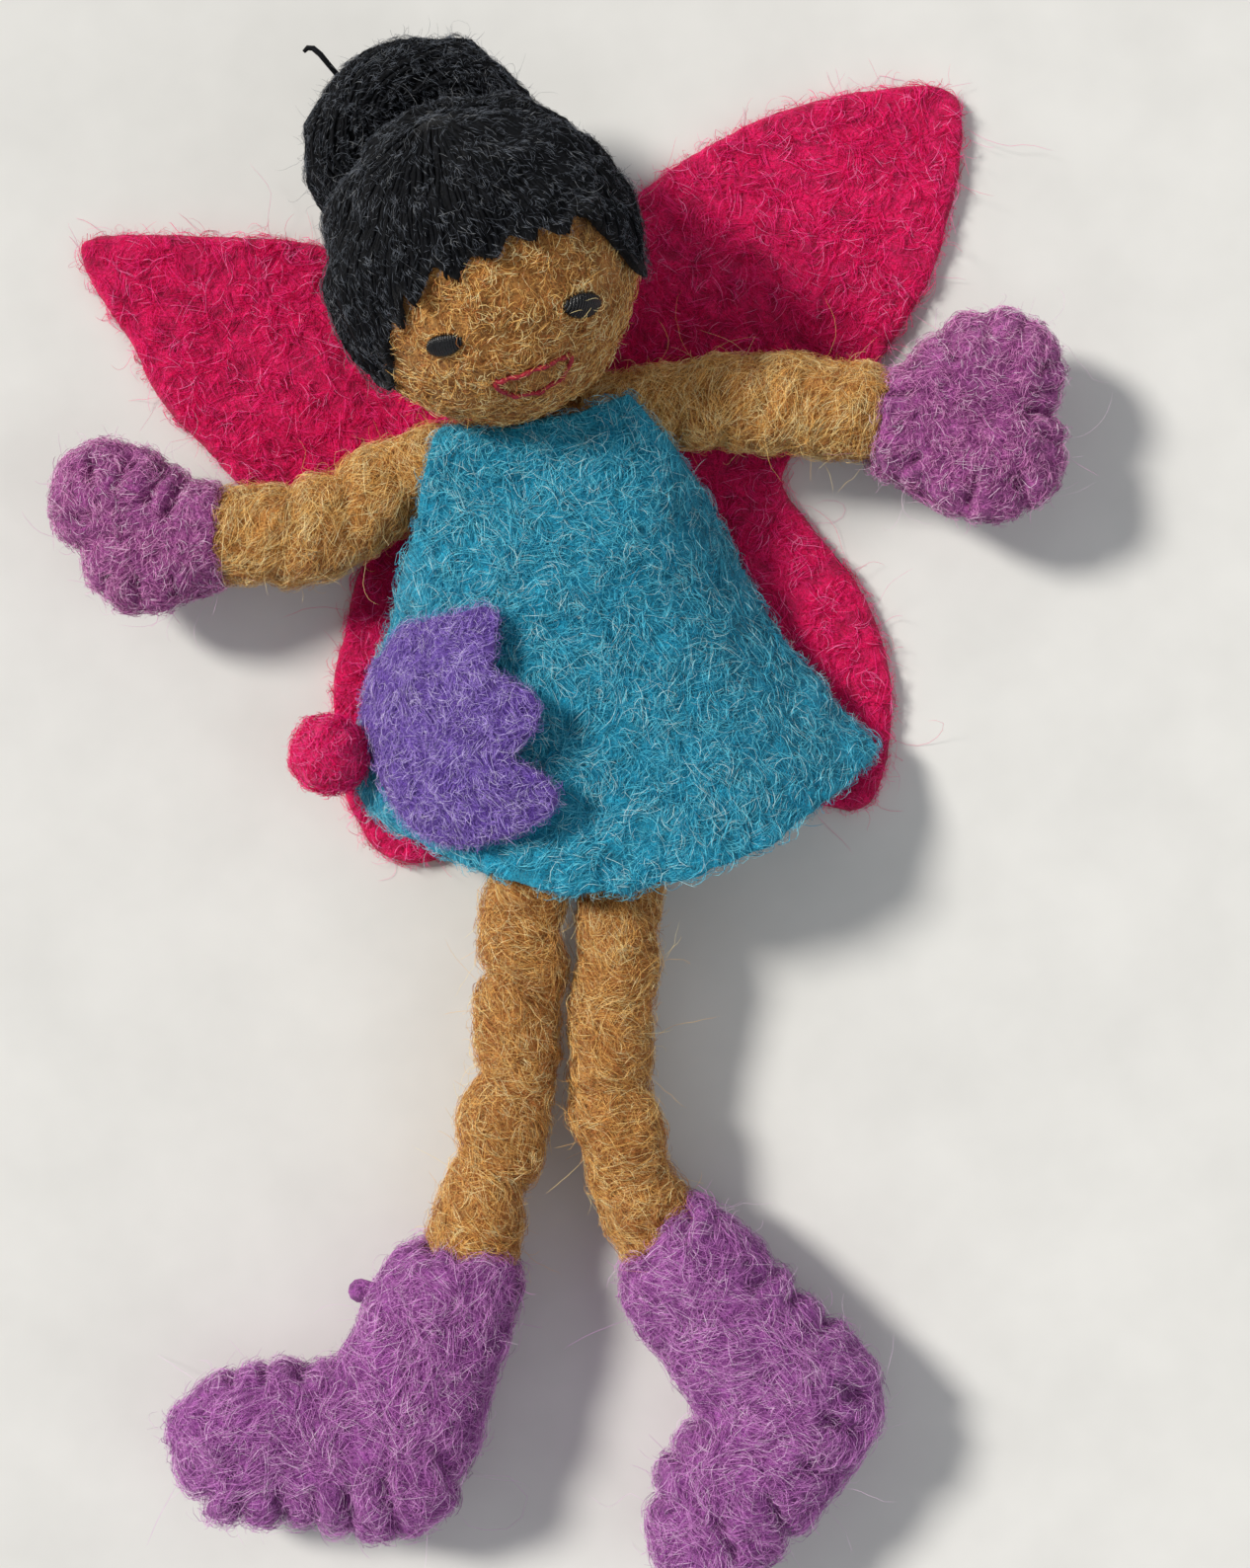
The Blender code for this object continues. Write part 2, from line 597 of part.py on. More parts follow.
def head_point(direction, offset):
    """The point of the head's surface, raised by the offset, in this direction from its centre."""
    local = HEAD_TURN.transposed() @ direction
    across = (local.x**2 + local.y**2) / (HEAD_RADIUS + offset) ** 2
    upward = local.z**2 / (HEAD_HALF_HEIGHT + offset) ** 2
    return HEAD_CENTRE + direction / math.sqrt(across + upward)


def head_direction(round_angle, down_angle):
    """The direction from the head's centre at these angles round the crown and down from it."""
    turn, down = math.radians(round_angle), math.radians(down_angle)
    out = HEAD_FRONT * math.cos(turn) + HEAD_SIDE * math.sin(turn)
    return HEAD_UP * math.cos(down) + out * math.sin(down)


def make_head(neck, head):
    radii = (HEAD_RADIUS, HEAD_RADIUS, HEAD_HALF_HEIGHT)
    skull = ellipsoid("head", HEAD_CENTRE, radii, HEAD_TURN, TAN, 28, 18)
    boolean(skull, ball("neck_clearance", NECK_PIVOT, NECK_BALL + GAP, TAN))
    post = [(0, NECK_POST_RADIUS + GAP), (NECK_POST_DEPTH + GAP, NECK_POST_RADIUS + GAP)]
    boolean(skull, turned("neck_bore", NECK_PIVOT, HEAD_UP, post, LIMB_SIDES, TAN, False))
    carry(skull, head)
    taper = math.degrees(math.asin(NECK_POST_RADIUS / NECK_BALL))
    profile = arc(0, NECK_BALL, HALF_TURN - bore_angle(NECK_BALL), taper, BALL_STEPS)
    profile += [(NECK_POST_DEPTH, NECK_POST_RADIUS), (NECK_POST_DEPTH, WIRE_RADIUS + GAP)]
    carry(turned("neck", NECK_PIVOT, HEAD_UP, profile, LIMB_SIDES, TAN), neck)
    wire_profile = [(-NECK_BALL / 2, WIRE_RADIUS), (NECK_POST_DEPTH, WIRE_RADIUS)]
    carry(turned("neck_wire", NECK_PIVOT, HEAD_UP, wire_profile, WIRE_SIDES, STEEL, False), neck)


def make_hair(head):
    """A cap over the crown and back of the head, down to a jagged hairline, and the roll behind it."""
    rings, columns = 8, []
    for (start, edge), (end, next_edge) in zip(HAIRLINE, HAIRLINE[1:] + ((360, HAIRLINE[0][1]),)):
        columns += [(start, edge), ((start + end) / 2, (edge + next_edge) / 2)]
    segments = len(columns)
    points, faces = [], []
    for offset in (GAP + HAIR_THICKNESS, GAP):
        points.append(head_point(HEAD_UP, offset))
        for i in range(1, rings + 1):
            points += [head_point(head_direction(turn, edge * i / rings), offset) for turn, edge in columns]
    layer = 1 + rings * segments
    for base in (0, layer):
        for k in range(segments):
            n = (k + 1) % segments
            faces.append((base, base + 1 + k, base + 1 + n))
            for i in range(rings - 1):
                a = base + 1 + i * segments
                faces.append((a + k, a + n, a + n + segments, a + k + segments))
    last = 1 + (rings - 1) * segments
    for k in range(segments):
        n = (k + 1) % segments
        faces.append((last + k, last + n, layer + last + n, layer + last + k))
    carry(solid("hair_cap", points, faces, BLACK), head)
    carry(make_bun(), head)


def make_bun():
    """A thick roll bent in an arc behind the crown, cut to the hair that it lies on."""
    lean = Matrix.Rotation(math.radians(BUN_LEAN), 4, "X")
    centre = HEAD_CENTRE + Vector((-BUN_SIDE, BUN_BACK, -BUN_LOW))
    stations, sides = 22, 12
    points, faces = [], []
    for i in range(stations + 1):
        turn = math.radians(BUN_ARC[0] + (BUN_ARC[1] - BUN_ARC[0]) * i / stations)
        out = Vector((math.cos(turn), math.sin(turn), 0))
        end = min(i, stations - i)
        radius = BUN_ROLL_RADIUS * (1 - 0.45 * 0.4**end)
        for k in range(sides):
            spin = 2 * math.pi * k / sides
            local = out * (BUN_RADIUS + radius * math.cos(spin)) + Vector((0, 0, radius * math.sin(spin)))
            points.append(centre + lean @ local)
    for i in range(stations):
        for k in range(sides):
            n = (k + 1) % sides
            a = i * sides
            faces.append((a + k, a + n, a + n + sides, a + k + sides))
    faces.append(tuple(range(sides)))
    faces.append(tuple(range(stations * sides, (stations + 1) * sides)))
    bun = solid("hair_bun", points, faces, BLACK)
    offset = 2 * GAP + HAIR_THICKNESS
    radii = (HEAD_RADIUS + offset, HEAD_RADIUS + offset, HEAD_HALF_HEIGHT + offset)
    boolean(bun, ellipsoid("bun_seat", HEAD_CENTRE, radii, HEAD_TURN, BLACK, 28, 18))
    return bun


def make_face(head):
    radii = (HEAD_RADIUS + GAP, HEAD_RADIUS + GAP, HEAD_HALF_HEIGHT + GAP)
    for side in ("left", "right"):
        direction = head_direction(EYE_ROUND[side], EYE_DOWN[side])
        normal = direction.normalized()
        turn = Matrix((HEAD_SIDE, normal.cross(HEAD_SIDE).normalized(), normal)).transposed().to_4x4()
        place = head_point(direction, 0)
        eye = ellipsoid(
            f"eye_{side}", place, (EYE_WIDTH / 2, EYE_HEIGHT / 2, EYE_DEPTH), turn, BLACK, 14, 8,
        )
        boolean(eye, ellipsoid(f"eye_seat_{side}", HEAD_CENTRE, radii, HEAD_TURN, BLACK, 28, 18))
        carry(eye, head)
    points, faces, stations, sides = [], [], 32, 6
    centres = []
    for i in range(stations):
        turn = 2 * math.pi * i / stations
        direction = head_direction(
            MOUTH_ROUND + MOUTH_HALF_ROUND * math.cos(turn),
            MOUTH_DOWN + MOUTH_OPEN * max(math.sin(turn), 0) ** 0.8,
        )
        centres.append(head_point(direction, GAP + MOUTH_THREAD))
    for i, centre in enumerate(centres):
        along = (centres[(i + 1) % stations] - centres[i - 1]).normalized()
        up = (centre - HEAD_CENTRE).normalized()
        across = along.cross(up).normalized()
        for k in range(sides):
            spin = 2 * math.pi * k / sides
            out = across * math.cos(spin) + across.cross(along) * math.sin(spin)
            points.append(centre + out * MOUTH_THREAD)
    for i in range(stations):
        for k in range(sides):
            n = (k + 1) % sides
            a, b = i * sides, (i + 1) % stations * sides
            faces.append((a + k, a + n, b + n, b + k))
    carry(solid("mouth", points, faces, RED), head)


def split_front_back(maker, names, place, depth, reach, socket, empty):
    """Two panels with their seam at the middle height, each cut for the ball that they hold."""
    for half, name in names.items():
        body = maker(name)
        low, high = place.z + GAP / 2, place.z + depth
        if half == "back":
            low, high = place.z - depth, place.z - GAP / 2
        boolean(body, slab(f"{name}_half", place, reach, low, high, LILAC), "INTERSECT")
        boolean(body, ball(f"{name}_socket", place, socket + GAP, LILAC))
        carry(body, empty)


def make_mitten(side, wrist, empty):
    place = plan_frame(wrist, MITTEN_ANGLE[side], mirrored=side == "right")

    def lobe(name, shares, length, reach):
        rows = [
            ((along * length, low * reach), (along * length, high * reach), deep * MITTEN_DEPTH / 2)
            for along, low, high, deep in shares
        ]
        return rail_loft(name, rows, place, LILAC)

    def mitten(name):
        body = lobe(name, FINGER_SHARES, FINGER_LENGTH[side], FINGER_REACH[side])
        thumb = lobe(f"{name}_thumb", THUMB_SHARES, THUMB_LENGTH[side], THUMB_REACH[side])
        boolean(body, thumb, "UNION")
        return body

    names = {half: f"mitten_{half}_{side}" for half in ("front", "back")}
    split_front_back(mitten, names, wrist, MITTEN_DEPTH, 2 * THUMB_LENGTH[side], ARM_BALL, empty)


def make_boot(side, ankle, empty):
    place = plan_frame(ankle, BOOT_ANGLE[side], mirrored=True)

    def boot(name):
        rows = [
            ((a * BOOT_HEIGHT, b * FOOT_LENGTH), (c * BOOT_HEIGHT, d * FOOT_LENGTH), deep * BOOT_DEPTH / 2)
            for a, b, c, d, deep in BOOT_SHARES
        ]
        return rail_loft(name, rows, place, LILAC)

    names = {half: f"boot_{half}_{side}" for half in ("front", "back")}
    split_front_back(boot, names, ankle, BOOT_DEPTH, 2 * BOOT_HEIGHT, LEG_BALL, empty)


def make_arm(side):
    shoulder = SHOULDERS[side]
    upper, fore = heading(UPPER_ARM_ANGLE[side]), heading(FOREARM_ANGLE[side])
    elbow = shoulder + upper * UPPER_ARM_LENGTH
    wrist = elbow + fore * FOREARM_LENGTH
    at_shoulder = pivot(f"shoulder_{side}", shoulder)
    at_elbow = pivot(f"elbow_{side}", elbow, at_shoulder)
    at_wrist = pivot(f"wrist_{side}", wrist, at_elbow)
    lengths = (
        ("upper_arm", shoulder, upper, UPPER_ARM_LENGTH, (SHOULDER_FOLD, ELBOW_FOLD), at_shoulder),
        ("forearm", elbow, fore, FOREARM_LENGTH, (ELBOW_FOLD, WRIST_FOLD), at_elbow),
    )
    clear = ARM_BALL + 2 * GAP
    for name, start, way, length, folds, empty in lengths:
        piece = limb(
            f"{name}_{side}", start, way, length, ARM_RADIUS, ARM_BALL, folds, ARM_BULGE_SHARES, TAN,
        )
        carry(piece, empty)
        carry(wire(f"{name}_wire_{side}", start, way, length, STEEL, clear), empty)
    make_mitten(side, wrist, at_wrist)


def make_leg(side):
    hip = HIPS[side]
    top = heading(LEG_TOP_ANGLE[side])
    thigh = heading(THIGH_ANGLE[side], LEG_DROP_ANGLE)
    shin = heading(SHIN_ANGLE[side], LEG_DROP_ANGLE)
    bend = hip + top * LEG_TOP_LENGTH
    knee = bend + thigh * THIGH_LENGTH
    ankle = knee + shin * SHIN_LENGTH
    at_hip = pivot(f"leg_spread_{side}", hip)
    at_bend = pivot(f"hip_bend_{side}", bend, at_hip)
    at_knee = pivot(f"knee_{side}", knee, at_bend)
    at_ankle = pivot(f"ankle_{side}", ankle, at_knee)
    lengths = (
        ("leg_top", hip, top, LEG_TOP_LENGTH, (SPREAD_FOLD, HIP_FOLD), THIGH_BULGE_SHARES, at_hip),
        ("thigh", bend, thigh, THIGH_LENGTH, (HIP_FOLD, KNEE_FOLD), THIGH_BULGE_SHARES, at_bend),
        ("shin", knee, shin, SHIN_LENGTH, (KNEE_FOLD, ANKLE_FOLD[side]), SHIN_BULGE_SHARES, at_knee),
    )
    for name, start, way, length, folds, bulges, empty in lengths:
        piece = limb(
            f"{name}_{side}", start, way, length, LEG_RADIUS, LEG_BALL, folds, bulges, TAN,
            start_ball=name == "leg_top",
        )
        carry(piece, empty)
        clear = WIRE_SETBACK if name == "leg_top" else LEG_BALL + 2 * GAP
        carry(wire(f"{name}_wire_{side}", start, way, length, STEEL, clear), empty)
    make_boot(side, ankle, at_ankle)


def make_flower():
    """A bell of two sheets that follow the skirt's slope, open at the petals, on a felted ball."""
    ball_centre = Vector((-FLOWER_BALL_SIDE, -FLOWER_DROP, FLOWER_BALL_Z))
    at_ball = pivot("flower_lift", ball_centre)
    rows = len(FLOWER_SHARES) - 1

    def place(u, v, lift):
        """A point at v from the lower edge to the upper and u from the stem side to the petals."""
        across, stem, petal = between(FLOWER_SHARES, v * rows)
        along = (u + 1) / 2
        x = FLOWER_LENGTH * (stem + (petal - stem) * along) - FLOWER_SIDE
        y = FLOWER_WIDTH / 2 * across - FLOWER_DROP
        bed = dress_height(x, y) + DRESS_THICKNESS / 2 + GAP + FLOWER_THICKNESS / 2
        return Vector((x, y, bed + lift(along, across)))

    def back(along, across):
        return 0.0

    def front(along, across):
        return FLOWER_THICKNESS + GAP + FLOWER_LIFT * math.sin(math.pi / 2 * along) * (1 - across**2)

    layers = (("flower_back", back, FLOWER_BACK_STEPS), ("flower_front", front, FLOWER_FRONT_STEPS))
    for name, lift, steps in layers:
        petals = sheet(name, lambda u, v: place(u, v, lift), *steps, FLOWER_THICKNESS, VIOLET)
        carry(petals, at_ball)
    carry(ball("flower_ball", ball_centre, FLOWER_BALL_RADIUS, PINK), at_ball)


make_wings()
make_dress()
make_torso()
at_neck = pivot("neck_lean", NECK_PIVOT)
at_head = pivot("head_turn", NECK_PIVOT, at_neck)
make_head(at_neck, at_head)
make_hair(at_head)
make_face(at_head)
for doll_side in ("left", "right"):
    make_arm(doll_side)
    make_leg(doll_side)
make_flower()
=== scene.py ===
"""The looks of a felt fairy doll: needle-felted wool over a wire core, cut felt clothes and yarn hair.

Metres, +Z up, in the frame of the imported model. Fibres are real geometry, laid on each surface.
"""

import math

import bpy
import numpy as np
from mathutils import Matrix, Vector
from mathutils.bvhtree import BVHTree


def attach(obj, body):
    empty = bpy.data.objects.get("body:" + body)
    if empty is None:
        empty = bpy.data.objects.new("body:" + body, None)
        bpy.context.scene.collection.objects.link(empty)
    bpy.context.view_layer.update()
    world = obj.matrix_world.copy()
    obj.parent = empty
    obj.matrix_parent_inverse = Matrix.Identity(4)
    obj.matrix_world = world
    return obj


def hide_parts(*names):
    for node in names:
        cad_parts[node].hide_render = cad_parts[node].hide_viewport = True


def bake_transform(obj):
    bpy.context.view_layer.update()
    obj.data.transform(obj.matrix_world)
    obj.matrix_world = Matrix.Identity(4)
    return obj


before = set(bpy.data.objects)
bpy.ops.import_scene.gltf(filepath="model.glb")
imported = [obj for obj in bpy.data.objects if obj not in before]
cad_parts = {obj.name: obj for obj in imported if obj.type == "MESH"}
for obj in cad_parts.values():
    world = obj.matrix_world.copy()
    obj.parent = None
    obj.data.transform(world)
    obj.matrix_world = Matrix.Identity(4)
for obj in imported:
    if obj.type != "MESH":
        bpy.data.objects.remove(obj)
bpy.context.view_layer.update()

MM = 0.001
UP = np.array((0.0, 0.0, 1.0))
DENSITY = 1.0

# Joint centres, as in the part
SHOULDER = {"left": (18, 16.3, 11.8), "right": (-18, 13.2, 11.8)}
ELBOW = {"left": (31.44, 14.219, 11.8), "right": (-30.747, 8.459, 11.8)}
WRIST = {"left": (42.777, 10.947, 11.8), "right": (-42.464, 9.857, 11.8)}
HIP = {"left": (4.7, -24, 11.8), "right": (-7.7, -24, 11.8)}
BEND = {"left": (-0.969, -49.784, 11.8), "right": (-13.863, -49.671, 11.8)}
KNEE = {"left": (-5.686, -69.585, 10.448), "right": (-18.959, -69.377, 10.448)}
ANKLE = {"left": (-3.914, -89.062, 9.149), "right": (-27.07, -87.173, 9.149)}
HAND_ANGLE = {"left": -12, "right": 171}
BOOT_ANGLE = {"left": 308.1, "right": 246}

# Head, an egg, with its crown direction
HEAD_CENTRE = np.array((-2.9, 36.0, 24.5))
HEAD_RADIUS, HEAD_HALF_HEIGHT = 18.4, 19.4
HEAD_UP = np.array((-0.13342, 0.80052, 0.58429))
HAIR_LIFT = 1.75
BUN_RADIUS, BUN_ROLL, BUN_LEAN = 10.4, 4.8, 24
BUN_OFFSET = np.array((-5.2, 16.6, -7.0))
BUN_ARC = (-34, 214)
BUN_CLUMPS = 0.35
HAIRLINE = (
    (0, 58), (10, 63), (18, 56), (26, 63), (32, 58), (39, 67), (46, 62), (52, 68), (60, 80),
    (66, 96), (72, 103), (90, 108), (120, 112), (150, 114), (180, 114), (210, 116), (240, 118),
    (270, 118), (296, 116), (306, 108), (313, 96), (318, 78), (324, 83), (330, 66), (335, 72),
    (343, 58), (352, 66), (360, 58),
)
EYES = {"left": (35.8, 93.5), "right": (-20.5, 89)}
EYE_HALF_WIDTH = {"left": 2.9, "right": 2.4}
EYE_HALF_HEIGHT = {"left": 1.8, "right": 1.6}
EYE_TURN = {"left": -34, "right": 4}
EYE_DEPTH, EYE_ROWS, EYE_STATIONS, EYE_THREAD = 1.5, 15, 11, 0.21
MOUTH_ROUND, MOUTH_HALF_ROUND, MOUTH_DOWN, MOUTH_OPEN = 9.2, 16.4, 110.6, 13
MOUTH_FLUFF = 420

# Whip stitches and puckers, each a short line seen from above that sinks into the felt
STITCHES = {
    ("mitten", "left"): (
        (59.5, 18.1, 60.4, 21.5), (64.2, 17.7, 66.4, 20.4), (54.8, 15.8, 53.9, 19.2),
        (48.1, 11.9, 44.9, 13.1), (65.7, 12.0, 68.9, 13.3), (64.8, 9.2, 68.3, 9.4),
        (62.8, 7.2, 66.2, 6.4), (64.2, 4.1, 67.2, 2.3), (47.4, 3.5, 44.3, 1.9),
        (54.0, -0.8, 52.9, -4.2), (60.0, -1.5, 60.9, -4.9),
    ),
    ("mitten", "right"): (
        (-57.6, 23.2, -58.4, 19.4), (-52.5, 21.7, -55.2, 17.8), (-48.7, 19.5, -51.5, 15.6),
        (-46.1, 18.0, -49.5, 13.1), (-62.1, 14.9, -59.8, 14.5), (-50.4, 4.7, -50.3, 1.8),
        (-54.9, 5.4, -55.0, 2.6), (-58.9, 6.4, -60.3, 4.6),
    ),
    ("boot", "right"): (
        (-62.6, -114.7, -63.5, -118.3), (-57.1, -114.6, -58.1, -119.7),
        (-52.9, -114.9, -53.8, -120.7), (-48.4, -115.2, -49.1, -121.5),
        (-43.2, -114.8, -43.3, -122.3), (-36.0, -113.3, -34.0, -120.2),
        (-61.2, -99.5, -61.8, -97.6), (-56.6, -99.1, -57.0, -97.3), (-52.0, -99.5, -52.4, -97.6),
        (-31.7, -84.5, -32.6, -86.6), (-28.0, -85.8, -28.9, -88.0), (-66.3, -113.2, -69.1, -115.1),
    ),
    ("boot", "left"): (
        (17.3, -113.1, 20.4, -115.6), (14.5, -116.9, 18.3, -119.9), (10.6, -122.5, 15.0, -125.2),
        (5.6, -125.6, 7.1, -132.7), (-1.6, -127.9, -0.1, -132.8), (1.4, -88.1, 0.1, -90.3),
        (8.3, -98.3, 10.6, -97.9), (13.3, -101.3, 15.7, -100.4), (16.6, -105.5, 19.4, -104.4),
        (-4.1, -114.1, -2.4, -115.7), (-8.2, -118.2, -5.8, -119.4), (-10.1, -124.5, -7.7, -124.6),
    ),
}

# Yarn knobs on the boots, each a path
KNOBS = {
    "right": (
        (-40.3, -92.0, 8.4), (-41.3, -91.8, 8.6), (-42.3, -91.5, 8.7), (-43.2, -91.2, 8.7),
        (-44.0, -90.9, 8.6), (-44.5, -90.7, 8.6),
    ),
    "left": (
        (-5.2, -98.2, 8.4), (-6.2, -98.5, 8.6), (-7.1, -98.8, 8.7), (-8.0, -99.0, 8.7),
        (-8.7, -99.2, 8.6), (-9.1, -99.3, 8.6),
    ),
}
KNOB_RADII = np.array([[1.2, 1.3, 1.5, 1.6, 1.3, 0.5]])

# Grooves: width, depth, and the share of it kept where the felt faces sideways
STITCH_GROOVES = {"mitten": (0.8, 1.7, 0.3), "boot": (0.9, 2.2, 0.75)}
HEM_GROOVES, CREASE_GROOVE = (0.8, 0.7, 0.35), (1.3, 0.4)

# Padded corners: centre, reach and push
SWELLS = {
    ("boot", "right"): ((-66.0, -114.0), 7.0, (-0.8, -2.8)),
    ("mitten", "left"): ((45.4, 18.4), 5.0, (1.0, -1.7)),
}
HEM_PUCKERS = (
    (-16.4, -41.0, -15.8, -37.6), (-8.3, -43.4, -7.7, -39.6), (-2.3, -44.8, -1.8, -41.1),
    (5.5, -45.4, 6.1, -42.0), (12.3, -44.8, 12.2, -41.5), (17.9, -43.2, 17.5, -39.9),
    (22.5, -41.4, 21.7, -38.1), (27.9, -39.2, 26.5, -36.3),
)
FLOWER_CREASE = ((-24.5, -20.1, -14.6, -23.1),)
LOOSE_LOOP = (
    (-33.8, -118.2, 5.5), (-31.0, -119.0, 5.2), (-28.3, -119.9, 4.0), (-26.5, -123.3, 2.6),
    (-27.8, -126.1, 1.6), (-30.0, -127.4, 1.2), (-32.9, -127.0, 1.6), (-34.9, -125.8, 2.6),
    (-37.2, -121.5, 4.5),
)

# Fibres: the material slots of their tints, and sizes in millimetres
FIBRES = (1, 2, 3)
TUFT, GLINT_FLECK_TUFT = 4, 3
HALO_LENGTH, HALO_RADIUS = (0.7, 1.9), (0.014, 0.024)
CURL_RADIUS = (0.015, 0.026)
HAIR_WISP_RADIUS = (0.016, 0.024)
FIBRE_FLOOR, WISP_FLOOR = 0.06, 0.1

# Noise in the felt's material, as scales per metre, line widths and an sRGB shade
TANGLE_SCALE, PATCH_SCALE, UNEVEN_SCALE = 2600, 330, 700
WINDING_FIBRES = ((620, 0.035), (1050, 0.04))
PATCH_SHADE = (193.8, 193.8, 193.8)


def linear(colour):
    """An sRGB colour of 0 to 255, as linear light."""
    shares = np.array(colour, float) / 255
    light = np.where(shares <= 0.04045, shares / 12.92, ((shares + 0.055) / 1.055) ** 2.4)
    return (*light, 1.0)


def lumps(points, size, seed, waves=30):
    """Smooth noise of about unit height with swells of this size."""
    rng = np.random.default_rng(seed)
    way = rng.normal(size=(waves, 3))
    way *= (2 * math.pi / size * rng.uniform(0.55, 1.5, waves) / np.linalg.norm(way, axis=1))[:, None]
    phase = rng.uniform(0, 2 * math.pi, waves)
    return np.sin(points @ way.T + phase).sum(1) / math.sqrt(waves / 2)


def swirl(size, seed):
    """A smooth field of directions with swirls of this size."""

    def field(places):
        return np.stack([lumps(places, size, seed + k, 14) for k in range(3)], 1)

    return field


def unit(vectors):
    return vectors / np.maximum(np.linalg.norm(vectors, axis=-1, keepdims=True), 1e-12)


def normals_of(points, triangles):
    """Each point's normal, from the triangles round it."""
    a, b, c = (points[triangles[:, k]] for k in range(3))
    face = np.cross(b - a, c - a)
    total = np.zeros_like(points)
    for k in range(3):
        np.add.at(total, triangles[:, k], face)
    return unit(total)


def triangles_of(polygons):
    """Quads and triangles as triangles."""
    out = []
    for block in polygons:
        if block.shape[1] == 3:
            out.append(block)
        else:
            out += [block[:, [0, 1, 2]], block[:, [0, 2, 3]]]
    return np.concatenate(out)


class Skin:
    """A surface in millimetres: its points, its quads or triangles, and a tree to find places on it."""

    def __init__(self, points, polygons):
        self.points = points
        self.polygons = polygons
        self.refresh()

    def refresh(self):
        self.triangles = triangles_of(self.polygons)
        self.normals = normals_of(self.points, self.triangles)
        self.tree = None

    def move(self, distance):
        self.points = self.points + self.normals * np.asarray(distance).reshape(-1, 1)
        self.refresh()
        return self

    def settle(self):
        """Lets the surface rest on the ground, not in it."""
        self.points[:, 2] = np.maximum(self.points[:, 2], 0.0)
        self.refresh()
        return self

    def nearest(self, places):
        if self.tree is None:
            self.tree = BVHTree.FromPolygons(self.points.tolist(), self.triangles.tolist())
        found = [self.tree.find_nearest(place) for place in places.tolist()]
        return np.array([f[0] for f in found], float), np.array([f[1] for f in found], float)

    def sample(self, count, rng, keep=None):
        """Random places on the surface with their normals. keep gives each triangle's weight."""
        a, b, c = (self.points[self.triangles[:, k]] for k in range(3))
        cross = np.cross(b - a, c - a)
        area = np.linalg.norm(cross, axis=1)
        if keep is not None:
            area = area * keep((a + b + c) / 3, unit(cross))
        chosen = rng.choice(len(area), count, p=area / area.sum())
        u, v = rng.random(count), rng.random(count)
        flip = u + v > 1
        u[flip], v[flip] = 1 - u[flip], 1 - v[flip]
        places = a[chosen] + (b - a)[chosen] * u[:, None] + (c - a)[chosen] * v[:, None]
        return places, unit(cross[chosen])

    def area(self):
        a, b, c = (self.points[self.triangles[:, k]] for k in range(3))
        return np.linalg.norm(np.cross(b - a, c - a), axis=1).sum() / 2


def add(name, data):
    """A new object in the scene."""
    item = bpy.data.objects.new(name, data)
    bpy.context.scene.collection.objects.link(item)
    return item


def read(items, key, width=1, kind=np.int32):
    """One attribute of a mesh's vertices, corners or faces, as an array."""
    values = np.empty(len(items) * width, kind)
    items.foreach_get(key, values)
    return values.reshape(-1, width) if width > 1 else values


def from_nodes(names, voxel, rounds, grow=0.0):
    """The CAD nodes' shape as one even quad mesh, with its facets smoothed away."""
    points, faces, base = [], [], 0
    for name in names:
        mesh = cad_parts[name].data
        mesh.calc_loop_triangles()
        co = read(mesh.vertices, "co", 3, np.float32).astype(float) / MM
        index = read(mesh.loop_triangles, "vertices", 3)
        _, first, same = np.unique(np.round(co, 3), axis=0, return_index=True, return_inverse=True)
        co, index = co[first], same.reshape(-1)[index]
        if grow:
            co = co + normals_of(co, index) * grow
        points.append(co)
        faces.append(index + base)
        base += len(co)
    mesh = mesh_of("remesh", np.concatenate(points), [np.concatenate(faces)])
    item = add("remesh", mesh)
    even = item.modifiers.new("even", "REMESH")
    even.mode, even.voxel_size = "VOXEL", voxel * MM
    soft = item.modifiers.new("soft", "SMOOTH")
    soft.factor, soft.iterations = 0.5, rounds
    result = item.evaluated_get(bpy.context.evaluated_depsgraph_get()).to_mesh()
    co = read(result.vertices, "co", 3, np.float32).astype(float) / MM
    corners = read(result.loops, "vertex_index")
    totals = read(result.polygons, "loop_total")
    starts = np.concatenate([[0], np.cumsum(totals)[:-1]])
    blocks = []
    for sides in (3, 4):
        own = starts[totals == sides]
        if len(own):
            blocks.append(corners[own[:, None] + np.arange(sides)])
    bpy.data.objects.remove(item)
    bpy.data.meshes.remove(mesh)
    return Skin(co, blocks)


def mesh_of(name, points, polygons, tints=None):
    """A mesh from points in millimetres and blocks of quads and triangles."""
    mesh = bpy.data.meshes.new(name)
    mesh.vertices.add(len(points))
    mesh.vertices.foreach_set("co", (np.asarray(points) * MM).astype(np.float32).ravel())
    corners = np.concatenate([block.ravel() for block in polygons]).astype(np.int32)
    sides = np.concatenate([np.full(len(block), block.shape[1]) for block in polygons])
    mesh.loops.add(len(corners))
    mesh.loops.foreach_set("vertex_index", corners)
    mesh.polygons.add(len(sides))
    starts = np.concatenate([[0], np.cumsum(sides)[:-1]]).astype(np.int32)
    mesh.polygons.foreach_set("loop_start", starts)
    mesh.polygons.foreach_set("use_smooth", np.ones(len(sides), bool))
    if tints is not None:
        mesh.polygons.foreach_set("material_index", tints.astype(np.int32))
    mesh.update(calc_edges=True)
    return mesh


